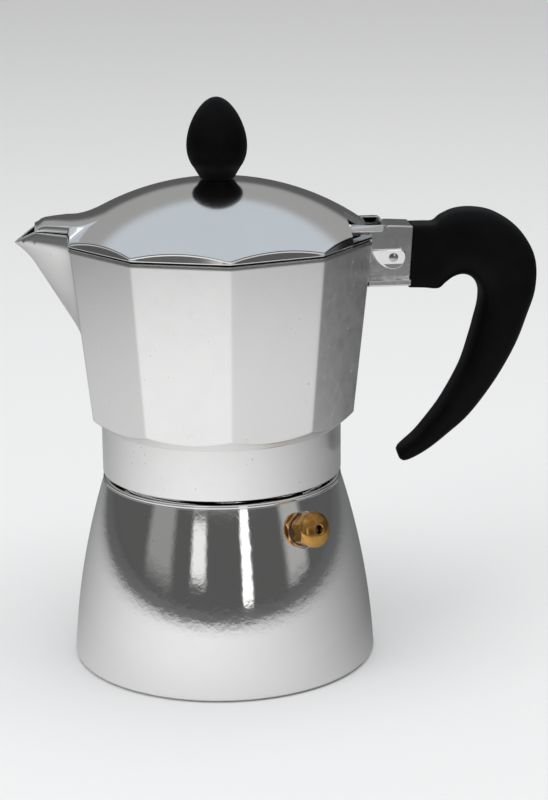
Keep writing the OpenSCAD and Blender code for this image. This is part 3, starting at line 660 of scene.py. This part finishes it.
def build_boiler():
    rows = [(0, 0), (20, 0)]
    rows += arc_of((base_r - 1.4, 1.4), 1.4, -90, -8, 9)
    rows += [(bell(z), z) for z in np.linspace(1.9, bell_h, 72)]
    rows += arc_of((collar_r - 0.7, bell_h + 0.7), 0.7, -50, 85, 11)
    rows += [(30.5, bell_h + 1.4), (30.2, bell_h + 1.5)]
    for z in np.arange(54.6, 65.2, 0.25):
        rows.append((30.2 + thread(z, ROUND, 54.6, 65.3, 3.0, 1.0), z))
    rows += [(30.2, 65.4), (29.9, rim_z), (27.1, rim_z), (26.8, 65.4)]
    rows += [(26.8, z) for z in np.linspace(64, bell_h, 8)]
    rows += [(bell(z, 2.6), z) for z in np.linspace(46.8, 4.4, 40)]
    rows += [(38.6, 3.4), (37.5, 3), (20, 3), (0, 3)]
    made = solid("boiler_casting", lathe(rows, ROUND))
    place, way = Vector(valve_place), Vector(valve_way)
    cut(made, [rod(place - way * 0.5, way, 5.3, 4, 96), rod(place - way * 8, way, 3.95, 12, 64)])
    return dress(made, boiler_metal, "boiler", "boiler")


boiler = build_boiler()
print("boiler has", len(boiler.data.polygons), "faces")

# %% [markdown]
# ## The upper chamber
#
# Ten flat sides widen from a round threaded collar to the rim, and a cone cuts their
# corners back to the collar, which leaves the scalloped edge at their foot. One flat
# side is drawn out into the spout. A hollow column in the middle brings the coffee up.

# %% Shape the chamber's walls
def column_angles():
    """Angles round the chamber, close together at its corners, spout and keel."""
    near = [0.07, 0.16, 0.28, 0.45, 0.7, 1.1, 1.8, 3, 5, 8, 11.5, 15]
    found = set()
    for corner in range(18, 360, 36):
        found.update([float(corner)] + [corner + s * n for n in near for s in (-1, 1)])
        found.add(corner + 18.0)
    found.update(np.arange(163, 197.1, 0.5))
    found.update(180 + s * a for a in (0.08, 0.18, 0.32, 17.04, 17.12, 17.2) for s in (-1, 1))
    ordered = sorted(round(a % 360, 3) for a in found)
    kept = [ordered[0]]
    for a in ordered[1:]:
        if a - kept[-1] > 0.05:
            kept.append(a)
    return np.radians(kept)


SIDES = column_angles()


def flat_sided(apothem, angles, crisp=300, sides=10):
    """Radius of an outline with flat sides and softly rounded corners."""
    turned = angles[:, None] - np.arange(sides)[None, :] * 2 * pi / sides
    reach = np.clip(np.cos(turned), 0.01, None) ** crisp
    return apothem * reach.sum(axis=1) ** (-1 / crisp)


def flat_x(z):
    return (foot_r + (min(z, top_z) - foot_z) * taper) * cos(pi / 10)


def side_hw(z):
    return (foot_r + (min(z, top_z) - foot_z) * taper) * sin(pi / 10)


spout_z, curl_z, spout_top_z = top_z - 27, top_z - 6, top_z + 3.5
reach, curl, bury, nose = 15.5, 0.06, 0.3, 1.2
cover_front_x, tip_x = -wall_x - 9.3, -wall_x - reach
keel_slope = (reach + flat_x(top_z) - flat_x(spout_z) - curl * 36) / 27


def spout(z, angles, inset):
    """Radius of the spout's V at a height, and 0 away from it."""
    level = min(z, top_z)
    out = (bury + (level - spout_z) * keel_slope + curl * max(0, level - curl_z) ** 2
           - (flat_x(level) - flat_x(spout_z)) - 1.3 * inset)
    if z < spout_z or out <= 0:
        return np.zeros_like(angles)
    s = np.linspace(-1, 1, 401)
    x = flat_x(z) - bury - 0.1 + out * (1 - np.abs(s) ** nose)
    y = s * (side_hw(z) - 0.15 - inset)
    turned = angles % (2 * pi) - pi
    return np.interp(turned, np.arctan2(y, x), np.hypot(x, y), left=0, right=0)


def outside(z, angles):
    wall = flat_sided(flat_x(z), angles)
    cone = collar_r + (z - ledge_z) * (foot_r - collar_r) / 3.7
    wall = smooth_min(wall, np.full_like(wall, cone), 0.3)
    return smooth_max(wall, spout(z, angles, 0.0), 0.12)


def inside(z, angles):
    wall = flat_sided(flat_x(z) - 2.4, angles, 120)
    return smooth_max(wall, spout(z, angles, 1.9), 0.4)


def lip(x):
    """Height of the rim over a point, which rises round the spout and falls to its tip."""
    fall = (spout_top_z - (top_z - 0.3)) / (cover_front_x - tip_x)
    height = spout_top_z - np.clip(cover_front_x - x, 0, None) * fall
    return np.where(x > -wall_x - 0.3, top_z, height)


def each(shape, z, angles):
    """A wall's radius where every angle has a height of its own."""
    levels = np.arange(66.0, 127.6, 0.5)
    table = np.array([shape(level, angles) for level in levels])
    at = (np.asarray(z) - levels[0]) / 0.5
    low = np.clip(at.astype(int), 0, len(levels) - 2)
    share = at - low
    columns = np.arange(len(angles))
    return table[low, columns] * (1 - share) + table[low + 1, columns] * share


def rim_of(shape, angles):
    """Height at which a wall meets the rim, found by halving."""
    low, high = np.full(len(angles), 118.0), np.full(len(angles), 127.0)
    for _ in range(22):
        middle = (low + high) / 2
        above = middle > lip(each(shape, middle, angles) * np.cos(angles))
        high, low = np.where(above, middle, high), np.where(above, low, middle)
    return (low + high) / 2


print("the chamber has", len(SIDES), "columns of faces")

# %% Build the upper chamber
def chamber_rows():
    angles = SIDES
    top_out, top_in = rim_of(outside, angles), rim_of(inside, angles)
    rows = [(0, 104.3), (3.1, 104.3), (3.1, 88), (3.1, 71.7), (3.4, 71.4)]
    rows += [(24.2, 71.4), (24.4, 71.2), (24.4, ceiling_z), (32.2, ceiling_z)]
    for z in np.arange(68.5, 56.2, -0.25):
        rows.append((32.2 - thread(z, angles, 56.4, 66.5, 3.0, 0.65), z))
    rows += [(32.2, 55.9), (32.6, collar_z), (34.0, collar_z)]
    rows += arc_of((collar_r - 0.35, collar_z + 0.35), 0.35, -60, 0, 4)
    rows += [(collar_r, z) for z in (57, 60, 63, 66, 68, 69, 69.5)]
    rows += [(collar_r, 69.7), (outside(69.9, angles), 69.9)]
    rows += [(outside(z, angles), z) for z in np.arange(70.1, 75.4, 0.2)]
    for share in np.linspace(0, 1, 56)[1:]:
        z = 75.3 + share * (top_out - 0.45 - 75.3)
        rows.append((each(outside, z, angles), z))
    wall_out = each(outside, top_out, angles)
    wall_in = each(inside, top_in, angles)
    rows.append((wall_out - 0.12, top_out - 0.12))
    for share in (0.16, 0.5, 0.84):
        radius = wall_out + share * (wall_in - wall_out)
        rows.append((radius, lip(radius * np.cos(angles))))
    rows.append((wall_in + 0.12, top_in - 0.12))
    for share in np.linspace(0, 1, 40):
        z = top_in - 0.45 + share * (75.6 - top_in + 0.45)
        rows.append((each(inside, z, angles), z))
    foot = inside(75.6, angles)
    rows += [(foot - 0.3, 74.8), (foot - 0.8, 74.2), (foot - 1.6, 73.9), (foot - 2.6, floor_z)]
    rows += [(20, floor_z), (8.6, floor_z), (7.4, 74.0), (6.9, 74.6), (6.6, 75.6)]
    rows += [(6.5 - 1.6 * t, 77 + 27 * t) for t in np.linspace(0, 1, 14)]
    rows += [(4.9, 104.8), (4.7, 105.6), (4.0, 106.4), (3.0, 106.8), (0, 106.8)]
    return rows


FLAT_KEEP = 12


def bracket():
    """Hinge bracket on the rim: a block between two open sides, and a tenon."""
    low, out, saddle = top_z - 14.2, bracket_x, top_z - 3.3
    block_x, block_z = pin_x - 2.1, top_z + 2.7
    root = wall_x - 2.0
    strip = pin_x - 6.5
    block = prism([(root, low), (out - 1, low), (out, block_z - 0.4), (block_x + 1, block_z),
                   (block_x, block_z - 0.6), (block_x, saddle), (root, saddle)], -5.6, 5.6, 0.4)
    rib = slab(root, strip, low, saddle, -8.6, 8.6, 0.45)
    flange = prism([(root, low), (out - 1, low), (out - 0.9, low + 1.9), (root, low + 1.9)],
                   -8.6, 8.6, 0.45)
    tenon = slab(out - 2, out + 6.6, pin_z - 6.5, pin_z + 3.5, -2.7, 2.7)
    return block, rib, flange, tenon


def build_chamber():
    made = solid("chamber_casting", lathe(chamber_rows(), SIDES), 22)
    cut(made, [rod((0, -10, 102.8), (0, 1, 0), 1.9, 20)], 22)
    dress(made, chamber_metal, "upper", "upper_chamber")
    hinge = drilled("hinge_bracket", bracket(), [
        (*pin_hole, pin_hole_r, 24), ((screw_x, 0, 100), UP, 1.7, 30)], FLAT_KEEP)
    return made, dress(hinge, hinge_metal, "upper", "upper_chamber")


chamber, hinge_bracket = build_chamber()
print("chamber pieces:", chamber.name, hinge_bracket.name)

# %% [markdown]
# ## The lid
#
# A domed casting with the same ten sides. Its rim hangs down a little all round, so each
# flat side shows a lens-shaped edge under the dome. A hooded cover reaches over the
# spout, and two ears reach back to the hinge pin.

# %% Build the lid
def dome(radius, inset=0.0):
    return dome_c + np.sqrt((dome_r - inset) ** 2 - np.asarray(radius, float) ** 2)


def crown(radius, angles):
    """Height of the lid's skin, which lifts out of the dome into the hood's top."""
    x, y = radius * np.cos(angles), radius * np.sin(angles)
    across = np.abs(y) / 10.5
    hood = np.where(across < 1, 128.5 + 0.7 * (1 - across ** 2), 128.5 - 23 * (across - 1))
    return np.where(x < -20, smooth_max(dome(radius), hood, 2.6), dome(radius))


def lid_rows():
    angles = SIDES
    edge = flat_sided(wall_x, angles)
    inner = flat_sided((rim_r - 3) * cos(pi / 10), angles, 120)
    rows = [(1.7, knob_z), (3.5, knob_z), (4.3, knob_z), (4.5, 139.3), (4.7, dome(4.7))]
    height = crown(edge - 0.55, angles) - lid_z - 0.45
    face = edge - 0.06 * np.clip(height - 0.8, 0, None)
    for share in np.linspace(0.02, 1, 44):
        radius = 4.7 + share * (face - 0.5 - 4.7)
        rows.append((radius, crown(radius, angles)))
    top, size = crown(face - 0.5, angles), np.clip(height / 1.1, 0.2, 1)
    for back, down in ((0.22, 0.14), (0.04, 0.32), (0, 0.5), (0.03, 0.68), (0.1, 0.9)):
        rows.append((face - back * size, top - down * size))
    rows += [(edge, lid_z + 0.45), (edge - 0.14, lid_z + 0.18), (edge - 0.5, lid_z),
             (inner + 0.3, lid_z)]
    rows += [(inner, lid_z + 0.4), (inner - 0.2, dome(inner, 1.5) - 0.5)]
    for share in np.linspace(0, 1, 24):
        radius = inner - 1 + share * (5.6 - inner + 1)
        rows.append((radius, dome(radius, 1.5)))
    rows += [(5.5, 137.5), (4, 137.45), (1.7, 137.45)]
    return rows


def cover_rings(inset, root, front):
    """Sections of the hood over the spout, from the lid's edge to its front. Its
    underside lies at the height root in the dome and at the height front past it."""
    rings = []
    for x, half, edge, low in ((-40.6, 10.5, 128.5, root), (-41.69, 10.5, 128.5, root),
                               (-42.19, 10.5, 128.5, front), (-46, 8.4, 128.5, front),
                               (-48.4, 7.0, 128.4, front), (-49.4, 6.5, 128.1, front),
                               (-50.4, 6.3, 127.4, front), (-51.24, 6.0, 127.1, front)):
        half, edge, x = half - inset, edge - inset, x + (inset if x < -49 else 0)
        foot = min(low + 0.35, edge - 0.3)
        ring = [(x, -half + 0.1, low), (x, -half, foot), (x, -half + 0.05, edge - 0.1)]
        for t in np.linspace(-0.97, 0.97, 17):
            ring.append((x, t * half, edge + 0.7 * (1 - t * t)))
        ring += [(x, half - 0.05, edge - 0.1), (x, half, foot), (x, half - 0.1, low)]
        rings.append(ring)
    return rings


EAR_HW = 8.6


def leaned(grid, side, lean, level):
    """Leans the outer face of an ear's part, so that it faces a little up or down."""
    for vert in grid.verts:
        out = side * vert.co.y / MM
        if out > EAR_HW - 0.9:
            vert.co.y -= side * MM * max(0.0, lean * (vert.co.z / MM - level))
    return grid


def lid_ears():
    """Two ears, each with a raised strip along its top and a round-nosed boss."""
    top, block_x = top_z + 3.3, pin_x - 2.1
    nose = arc_of((pin_x, pin_z), 3.5, 60, -130, 26)
    root = wall_x - 7.6
    arm = ([(root, lid_z), (root, top + 0.4), (wall_x - 1, top), (block_x - 0.4, top),
            (block_x + 0.5, top - 0.6), (pin_x + 0.9, pin_z + 4.4)] + nose
           + [(pin_x - 4.6, pin_z - 0.6), (pin_x - 5.9, pin_z + 1.6),
              (wall_x + 0.4, pin_z + 2.7), (wall_x + 0.4, lid_z)])
    boss = ([(pin_x - 6.3, pin_z + 2.4), (pin_x + 2.2, pin_z + 2.4)]
            + arc_of((pin_x, pin_z), 3.6, 30, -100, 20)
            + [(pin_x - 2.2, pin_z - 3.2), (pin_x - 3.7, pin_z - 2.2),
               (pin_x - 5.0, pin_z - 0.7), (pin_x - 6.0, pin_z + 1.3)])
    strip = [(root, top - 1.9), (root, top + 0.4), (wall_x - 1, top), (block_x - 1.2, top),
             (block_x - 0.6, top - 0.5), (block_x - 0.6, top - 1.5), (block_x - 1, top - 1.9)]
    parts = []
    for side in (-1, 1):
        spans = [sorted((5.9 * side, y * side)) for y in (7.9, EAR_HW, EAR_HW)]
        parts.append(prism(arm, *spans[0], 0.2))
        parts.append(leaned(prism(boss, *spans[1], 0.5, 3), side, -0.16, pin_z + 2.4))
        parts.append(leaned(prism(strip, *spans[2], 0.35, 3), side, 0.4, top - 1.9))
    return parts


def locating_lip():
    """Strip under the lid that centres it in the chamber, open towards the spout."""
    stop = pi - atan2(sqrt(37.6 ** 2 - 30 ** 2), 30)
    rings = []
    for angle in np.linspace(-stop, stop, 120):
        section = ((37.6, 126.5), (37.6, 121.3), (37.3, 121.0), (36.6, 121.0), (36.3, 121.3),
                   (36.3, 127.0))
        rings.append([(r * cos(angle), r * sin(angle), z) for r, z in section])
    return loft(rings)


def build_lid():
    made = solid("lid_casting", lathe(lid_rows(), SIDES, closed=True), 22)
    notch = slab(wall_x - 0.6, wall_x + 8, lid_z - 1, top_z + 9, -5.9, 5.9, 0)
    corners = [prism([(34.6, 132), (35.4, lid_z + 1.0), (wall_x + 6, lid_z + 0.7),
                      (wall_x + 6, 132)], *ends, 0) for ends in ((-26, -6.2), (6.2, 26))]
    inside = [[(x, y, z) for x, y in ((x, -9), (x, 9)) for z in (z0, z1)]
              for x, z0, z1 in ((-36, 122, 126.1), (-45, 122, 126.1))]
    channel = loft([[ring[0], ring[2], ring[3], ring[1]] for ring in inside])
    cut(made, [solid("tool", tool) for tool in (channel, notch, *corners)], 22)
    cheeks = []
    for ends in ((-22, -5.95), (5.95, 22)):
        rings = []
        for y in np.linspace(*ends, 14):
            high = max(dome(float(np.hypot(34.9, y))) - 0.3, lid_z + 0.7)
            rings.append([(33.9, y, lid_z + 0.3), (34.95, y, lid_z + 0.3), (34.9, y, high),
                          (33.9, y, high)])
        cheeks.append(solid("cheek", loft(rings)))
    cover = solid("cover", loft(cover_rings(0.0, 124.3, 126.7)), 22)
    cut(cover, [solid("tool", loft(cover_rings(1.5, 122.2, 122.2)))], 22)
    grid = bmesh.new()
    for part in (made, cover, *cheeks):
        grid.from_mesh(part.data)
    for spare in (cover, *cheeks):
        bpy.data.objects.remove(spare)
    grid.to_mesh(made.data)
    grid.free()
    shade(made, 22)
    dress(made, lid_metal, "lid", "lid")
    ears = drilled("lid_ears", lid_ears(), [(*pin_hole, pin_hole_r + 0.04, 24)], FLAT_KEEP)
    dress(ears, hinge_metal, "lid", "lid")
    lip_ring = solid("lid_lip", locating_lip())
    return made, ears, dress(lip_ring, lid_metal, "lid", "lid")


lid, ears, lid_lip = build_lid()
print("lid pieces:", lid.name, ears.name, lid_lip.name)

# %% [markdown]
# ## The knob and the handle
#
# Both are moulded in black heat-proof plastic. The knob is an egg on a short neck. The
# handle leaves the bracket level, turns down in a wide hook and ends in a blunt tip that
# sweeps back towards the pot, so that fingers stay clear of the hot boiler.

# %% Build the knob and the handle
KNOB_KEEP = 60
knob_h, knob_r = 22.6, 8.5


def egg(angle):
    """Width of an egg shape, from its foot at 0 to its tip at pi."""
    return sin(angle) * (1 + 0.21 * cos(angle))


def build_knob():
    peak = max(egg(a) for a in np.linspace(0, pi, 400))
    rows = [(0, knob_z), (4.7, knob_z), (5.0, knob_z + 0.25), (5.0, knob_z + 0.45)]
    for a in np.linspace(0, pi, 64)[1:-1]:
        height = knob_h * (1 - cos(a)) / 2
        if height > 0.13 * knob_h:
            rows.append((knob_r * egg(a) / peak, knob_z + height))
    rows.append((0, knob_z + knob_h))
    made = solid("egg_knob", lathe(rows, ROUND), KNOB_KEEP)
    cut(made, [rod((0, 0, 138), UP, 2.62, 9.45)], KNOB_KEEP)
    return dress(made, plastic, "lid", "knob")


# Each station: an inner and an outer point in X and Z, measured from the bracket's face at
# the height of the rim, then the half width and the squareness of the section there.
STATIONS = [
    ((-0.7, -15.8), (0.1, 2.3), 5.4, 7), ((3.6, -16.0), (3.7, 2.3), 5.4, 7),
    ((7.6, -16.4), (6.7, 2.5), 5.6, 5), ((9.8, -15.0), (9.0, 4.4), 6.2, 3.4),
    ((12.0, -13.4), (13.0, 6.0), 7.1, 3), ((14.4, -12.7), (18.0, 6.3), 7.6, 2.8),
    ((16.6, -13.1), (23.8, 5.0), 8, 2.8), ((18.4, -14.5), (29.7, 1.3), 8, 2.8),
    ((19.6, -16.5), (33.9, -3.9), 8, 2.8), ((20.0, -18.9), (36.1, -9.7), 8, 2.8),
    ((19.7, -22.3), (36.0, -17.3), 8, 2.8), ((18.8, -26.1), (33.8, -24.5), 8, 2.8),
    ((17.3, -31.9), (30.4, -33.5), 8, 2.8), ((14.6, -40.2), (24.6, -43.9), 7.6, 2.8),
    ((9.5, -49.7), (17.4, -53.6), 7.1, 2.8), ((5.0, -55.7), (11.0, -59.6), 6.2, 2.7),
    ((1.6, -59.7), (5.6, -63.9), 5.8, 2.6), ((-1.2, -62.1), (1.4, -66.5), 5.2, 2.5),
    ((-3.0, -63.6), (-1.5, -67.7), 4.2, 2.4), ((-3.7, -64.7), (-2.9, -67.2), 2.6, 2.2)]
HANDLE_STEPS, HANDLE_SIDES = 7, 56
handle_end_x = 90.9


def handle_rings():
    """Rings of the handle, on a smooth curve through its stations."""
    flat = np.array([[*inner, *outer, half, power] for inner, outer, half, power in STATIONS])
    last = len(flat) - 1
    rings = []
    for i in range(last):
        a, b, c, d = (flat[max(0, min(last, i + k))] for k in (-1, 0, 1, 2))
        for t in np.linspace(0, 1, HANDLE_STEPS, endpoint=False):
            row = 0.5 * (2 * b + (c - a) * t + (2 * a - 5 * b + 4 * c - d) * t * t
                         + (3 * b - a - 3 * c + d) * t ** 3)
            rings.append(row)
    made = []
    for ix, iz, ox, oz, half, power in rings:
        ring = []
        for j in range(HANDLE_SIDES):
            angle = 2 * pi * (j + 0.5) / HANDLE_SIDES
            c = np.sign(cos(angle)) * abs(cos(angle)) ** (2 / power)
            s = np.sign(sin(angle)) * abs(sin(angle)) ** (2 / power)
            x = bracket_x + (ix + ox) / 2 + (ox - ix) / 2 * c
            ring.append((min(x, handle_end_x), half * s, top_z + (iz + oz) / 2 + (oz - iz) / 2 * c))
        made.append(ring)
    return made


def build_handle():
    made = solid("hook_handle", loft(handle_rings()), 45)
    slot = slab(bracket_x - 3, bracket_x + 6.7, pin_z - 6.6, pin_z + 3.6, -2.8, 2.8, 0)
    holes = [rod((screw_x, 0, start), UP, radius, length) for start, radius, length in
             ((100, 3.0, 9.3), (100, 1.7, 21.5), (119.5, 2.42, 4.4))]
    cut(made, [solid("tool", slot), *holes], 45)
    return dress(made, plastic, "upper", "handle")


knob, handle = build_knob(), build_handle()
print("plastic pieces:", knob.name, handle.name)

# %% [markdown]
# ## The safety valve
#
# A brass body screws into the boiler's side: a threaded shank, a hexagon for the spanner
# and a domed head with a steam hole. Inside it a spring holds a small steel poppet on its
# seat, and steam lifts it if the filter ever blocks. All its pieces are turned, so each
# is a profile swung round the valve's own axis.

# %% Build the valve
def at_valve(name, rows):
    """A piece turned round the valve's axis."""
    return solid(name, stand(lathe(rows, ROUND, closed=True), valve_place, valve_way))


def valve_body_rows():
    rows = [(2.6, -6.5), (2.7, -6.6), (3.5, -6.6)]
    for z in np.arange(-6.5, -0.55, 0.1):
        rows.append((3.55 + thread(z, ROUND, -6.5, -0.5, 1.0, 0.35), z))
    rows += [(3.6, -0.5), (3.6, 0.1)]
    hexagon = flat_sided(4.3, ROUND, 260, sides=6)
    for z in (0.1, 0.16, 0.3, 0.5, 0.7, 1.0, 1.9, 2.8, 3.1, 3.3, 3.5, 3.64, 3.7):
        cone = 4.42 + min(z - 0.1, 3.7 - z) * 1.5
        rows.append((smooth_min(hexagon, np.full_like(hexagon, cone), 0.08), z))
    rows += [(4.3, 3.72), (4.3, 3.85), (4.7, 3.86), (4.9, 3.92), (5.0, 4.1), (5.0, 4.75)]
    rows += [(5 * cos(radians(a)), 4.8 + 2.2 * sin(radians(a))) for a in range(3, 70, 3)]
    rows += [(1.55, 6.9), (1.4, 6.85), (1.25, 6.7), (1.25, 5.3), (2.5, 5.1), (2.6, 5.0)]
    return rows


def seat_rows():
    return [(1.1, -6.5), (1.2, -6.6), (2.5, -6.6), (2.58, -6.5), (2.58, -4.5), (2.5, -4.4),
            (1.25, -4.4), (1.1, -4.5)]


def poppet_rows():
    return [(0, -6.1), (0.45, -5.95), (0.8, -5.4), (0.8, -4.4), (2.2, -4.4), (2.3, -4.3),
            (2.3, -3.5), (2.2, -3.4), (0.9, -3.4), (0.7, -3.2), (0.7, 4.9), (0.6, 5.05),
            (0, 5.1)]


def spring_coil(radius, wire, low, high, turns):
    """Round wire wound up a helix, its last half turn at each end lying flat."""
    rings = []
    for t in np.linspace(0, turns, turns * 28 + 1):
        flat = np.interp(t, [0, 0.5, turns - 0.5, turns], [0, 0.02, 0.98, 1])
        turn, z = 2 * pi * t, low + wire + (high - low - 2 * wire) * flat
        ring = []
        for a in np.linspace(0, 2 * pi, 10, endpoint=False):
            out = radius + wire * cos(a)
            ring.append((out * cos(turn), out * sin(turn), z + wire * sin(a)))
        rings.append(ring)
    return loft(rings)


def build_valve():
    body = at_valve("brass_valve", valve_body_rows())
    washer = at_valve("fibre_washer", [
        (3.95, -0.42), (4.05, -0.5), (4.4, -0.5), (4.5, -0.4), (4.5, 0.0), (4.4, 0.1),
        (4.05, 0.1), (3.95, 0.02)])
    seat = at_valve("valve_seat_ring", seat_rows())
    poppet = solid("steel_poppet", stand(lathe(poppet_rows(), ROUND), valve_place, valve_way))
    foot, top = -3.35, 5.05
    spring = solid("coil_spring", stand(spring_coil(1.83, 0.27, foot, top, 6),
                                        valve_place, valve_way), 60)
    dress(body, brass_metal, "boiler", "valve_body")
    dress(washer, fibre, "boiler", "valve_washer")
    dress(seat, brass_metal, "boiler", "valve_seat")
    dress(poppet, steel_metal, "valve_poppet", "valve_poppet")
    dress(spring, spring_metal, "boiler", "valve_spring")
    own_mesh(spring)
    return body, washer, seat, poppet, spring


valve = build_valve()
print("valve pieces:", ", ".join(piece.name for piece in valve))

# %% [markdown]
# ## Funnel, seal and small hardware
#
# The funnel is spun from sheet, so its edge is rolled. The seal is a plain rubber ring.
# The inserts are brass bushes with a knurl that grips the plastic round them, and the
# screws have a slot for the driver.

# %% Build the funnel and the seal
def funnel_rows():
    rows = [(26.0, 65.3), (26.3, 65.7), (29.5, 65.7)]
    rows += arc_of((29.5, 66.1), 0.4, -75, 90, 8)
    rows += [(26.0, 66.5), (25.5, 66.35), (25.25, 66.0), (25.2, 65.4)]
    rows += [(25.2, 46.2), (25.2, 45.0), (24.0, 45.0), (23.4, 44.85)]
    rows += [(23.4 + (4.0 - 23.4) * t, 44.8 - 8.5 * t) for t in np.linspace(0.1, 1, 8)]
    rows += [(3.6, 35.6), (3.6, 30), (3.6, 8.2), (3.8, 8.0), (4.25, 8.0), (4.4, 8.15)]
    rows += [(4.4, 30), (4.4, 35.0), (4.7, 35.6)]
    rows += [(4.7 + (24.2 - 4.7) * t, 35.6 + 8.5 * t) for t in np.linspace(0.1, 1, 8)]
    rows += [(25.2, 44.2), (25.8, 44.5), (26.0, 45.1), (26.0, 55)]
    return rows


funnel = dress(solid("spun_funnel", lathe(funnel_rows(), ROUND, closed=True)),
               sheet_metal, "funnel", "funnel")
seal = solid("seal_ring", lathe(
    [(25.7, 67.0), (25.85, 66.65), (26.2, 66.5), (31.4, 66.5), (31.75, 66.65), (31.9, 67.0),
     (31.9, 69.5), (31.75, 69.85), (31.4, 70.0), (26.2, 70.0), (25.85, 69.85), (25.7, 69.5)],
    ROUND, closed=True))
dress(seal, seal_rubber, "gasket", "gasket")
print("funnel and seal have", len(funnel.data.polygons) + len(seal.data.polygons), "faces")

# %% Build the pin, inserts, washer and screws
def bush(name, place, radius, bore, height):
    """Brass bush with upright knurling and a groove round its middle."""
    knurl = 0.14 * (0.5 + 0.5 * np.cos(36 * ROUND))
    half = height / 2
    rows = [(bore, 0.15), (bore + 0.15, 0), (radius - 0.35, 0), (radius - 0.2, 0.15)]
    for low, high in ((0.3, half - 0.6), (half + 0.6, height - 0.3)):
        rows += [(radius - 0.2, low)] + [(radius - 0.02 - knurl, z) for z in
                                         (low + 0.15, high - 0.15)] + [(radius - 0.2, high)]
    rows += [(radius - 0.2, height - 0.15), (radius - 0.35, height), (bore + 0.15, height),
             (bore, height - 0.15)]
    return solid(name, stand(lathe(rows, ROUND, closed=True), place, UP), 35)


def slotted_screw(name, place, way, head_r, head_rows, shank_r, shank_l):
    """Screw whose head starts at place and whose shank runs the other way."""
    rows = [(0, head_rows[-1][1])] + head_rows[::-1] + [(head_r, 0), (shank_r, 0)]
    for z in np.arange(0.5, shank_l - 0.5, 0.1):
        rows.append((shank_r - 0.25 + thread(z, ROUND, 0.5, shank_l - 0.5, 0.7, 0.25), -z))
    rows += [(shank_r - 0.3, -shank_l + 0.4), (shank_r - 0.6, -shank_l), (0, -shank_l)]
    made = solid(name, lathe(rows, ROUND), 25)
    top = head_rows[-1][1]
    blade = loft([[(x, y, z) for x, y in ((-4, -0.35), (4, -0.35), (4, 0.35), (-4, 0.35))]
                  for z in (top - 0.8, top + 1)])
    cut(made, [solid("tool", blade)], 25)
    stand(made.data, place, way)
    return made


def build_hardware():
    pin_rows = [(0, 0), (0.9, 0.03), (1.25, 0.15), (1.35, 0.4), (1.35, 16.8), (1.25, 17.05),
                (0.9, 17.17), (0, 17.2)]
    pin = solid("steel_pin", stand(lathe(pin_rows, ROUND), (pin_x, -8.6, pin_z), (0, 1, 0)))
    handle_bush = bush("handle_bush", (screw_x, 0, 120.9), 2.4, 1.55, 3.0)
    knob_bush = bush("knob_bush", (0, 0, knob_z), 2.6, 1.55, 8.0)
    washer = solid("lid_washer", lathe(
        [(1.7, 136.8), (1.85, 136.65), (4.0, 136.65), (4.2, 136.8), (4.2, 137.3),
         (4.0, 137.45), (1.85, 137.45), (1.7, 137.3)], ROUND, closed=True))
    handle_bolt = slotted_screw(
        "handle_bolt", (screw_x, 0, 109.3), (0, 0, -1), 2.8,
        [(2.8, 1.2), (2.7, 1.42), (2.4, 1.6)], 1.5, 13.4)
    knob_bolt = slotted_screw(
        "knob_bolt", (0, 0, 136.65), (0, 0, -1), 2.9,
        [(2.9, 0.6), (2.8, 0.95), (2.45, 1.4), (1.9, 1.75), (1.0, 1.97)], 1.5, 9.0)
    dress(pin, steel_metal, "upper", "hinge_pin")
    dress(handle_bush, brass_metal, "upper", "handle_insert")
    dress(knob_bush, brass_metal, "lid", "knob_insert")
    dress(washer, steel_metal, "lid", "knob_washer")
    dress(handle_bolt, steel_metal, "upper", "handle_screw")
    dress(knob_bolt, steel_metal, "lid", "knob_screw")
    return pin, handle_bush, knob_bush, washer, handle_bolt, knob_bolt


hardware = build_hardware()
print("small pieces:", ", ".join(piece.name for piece in hardware))
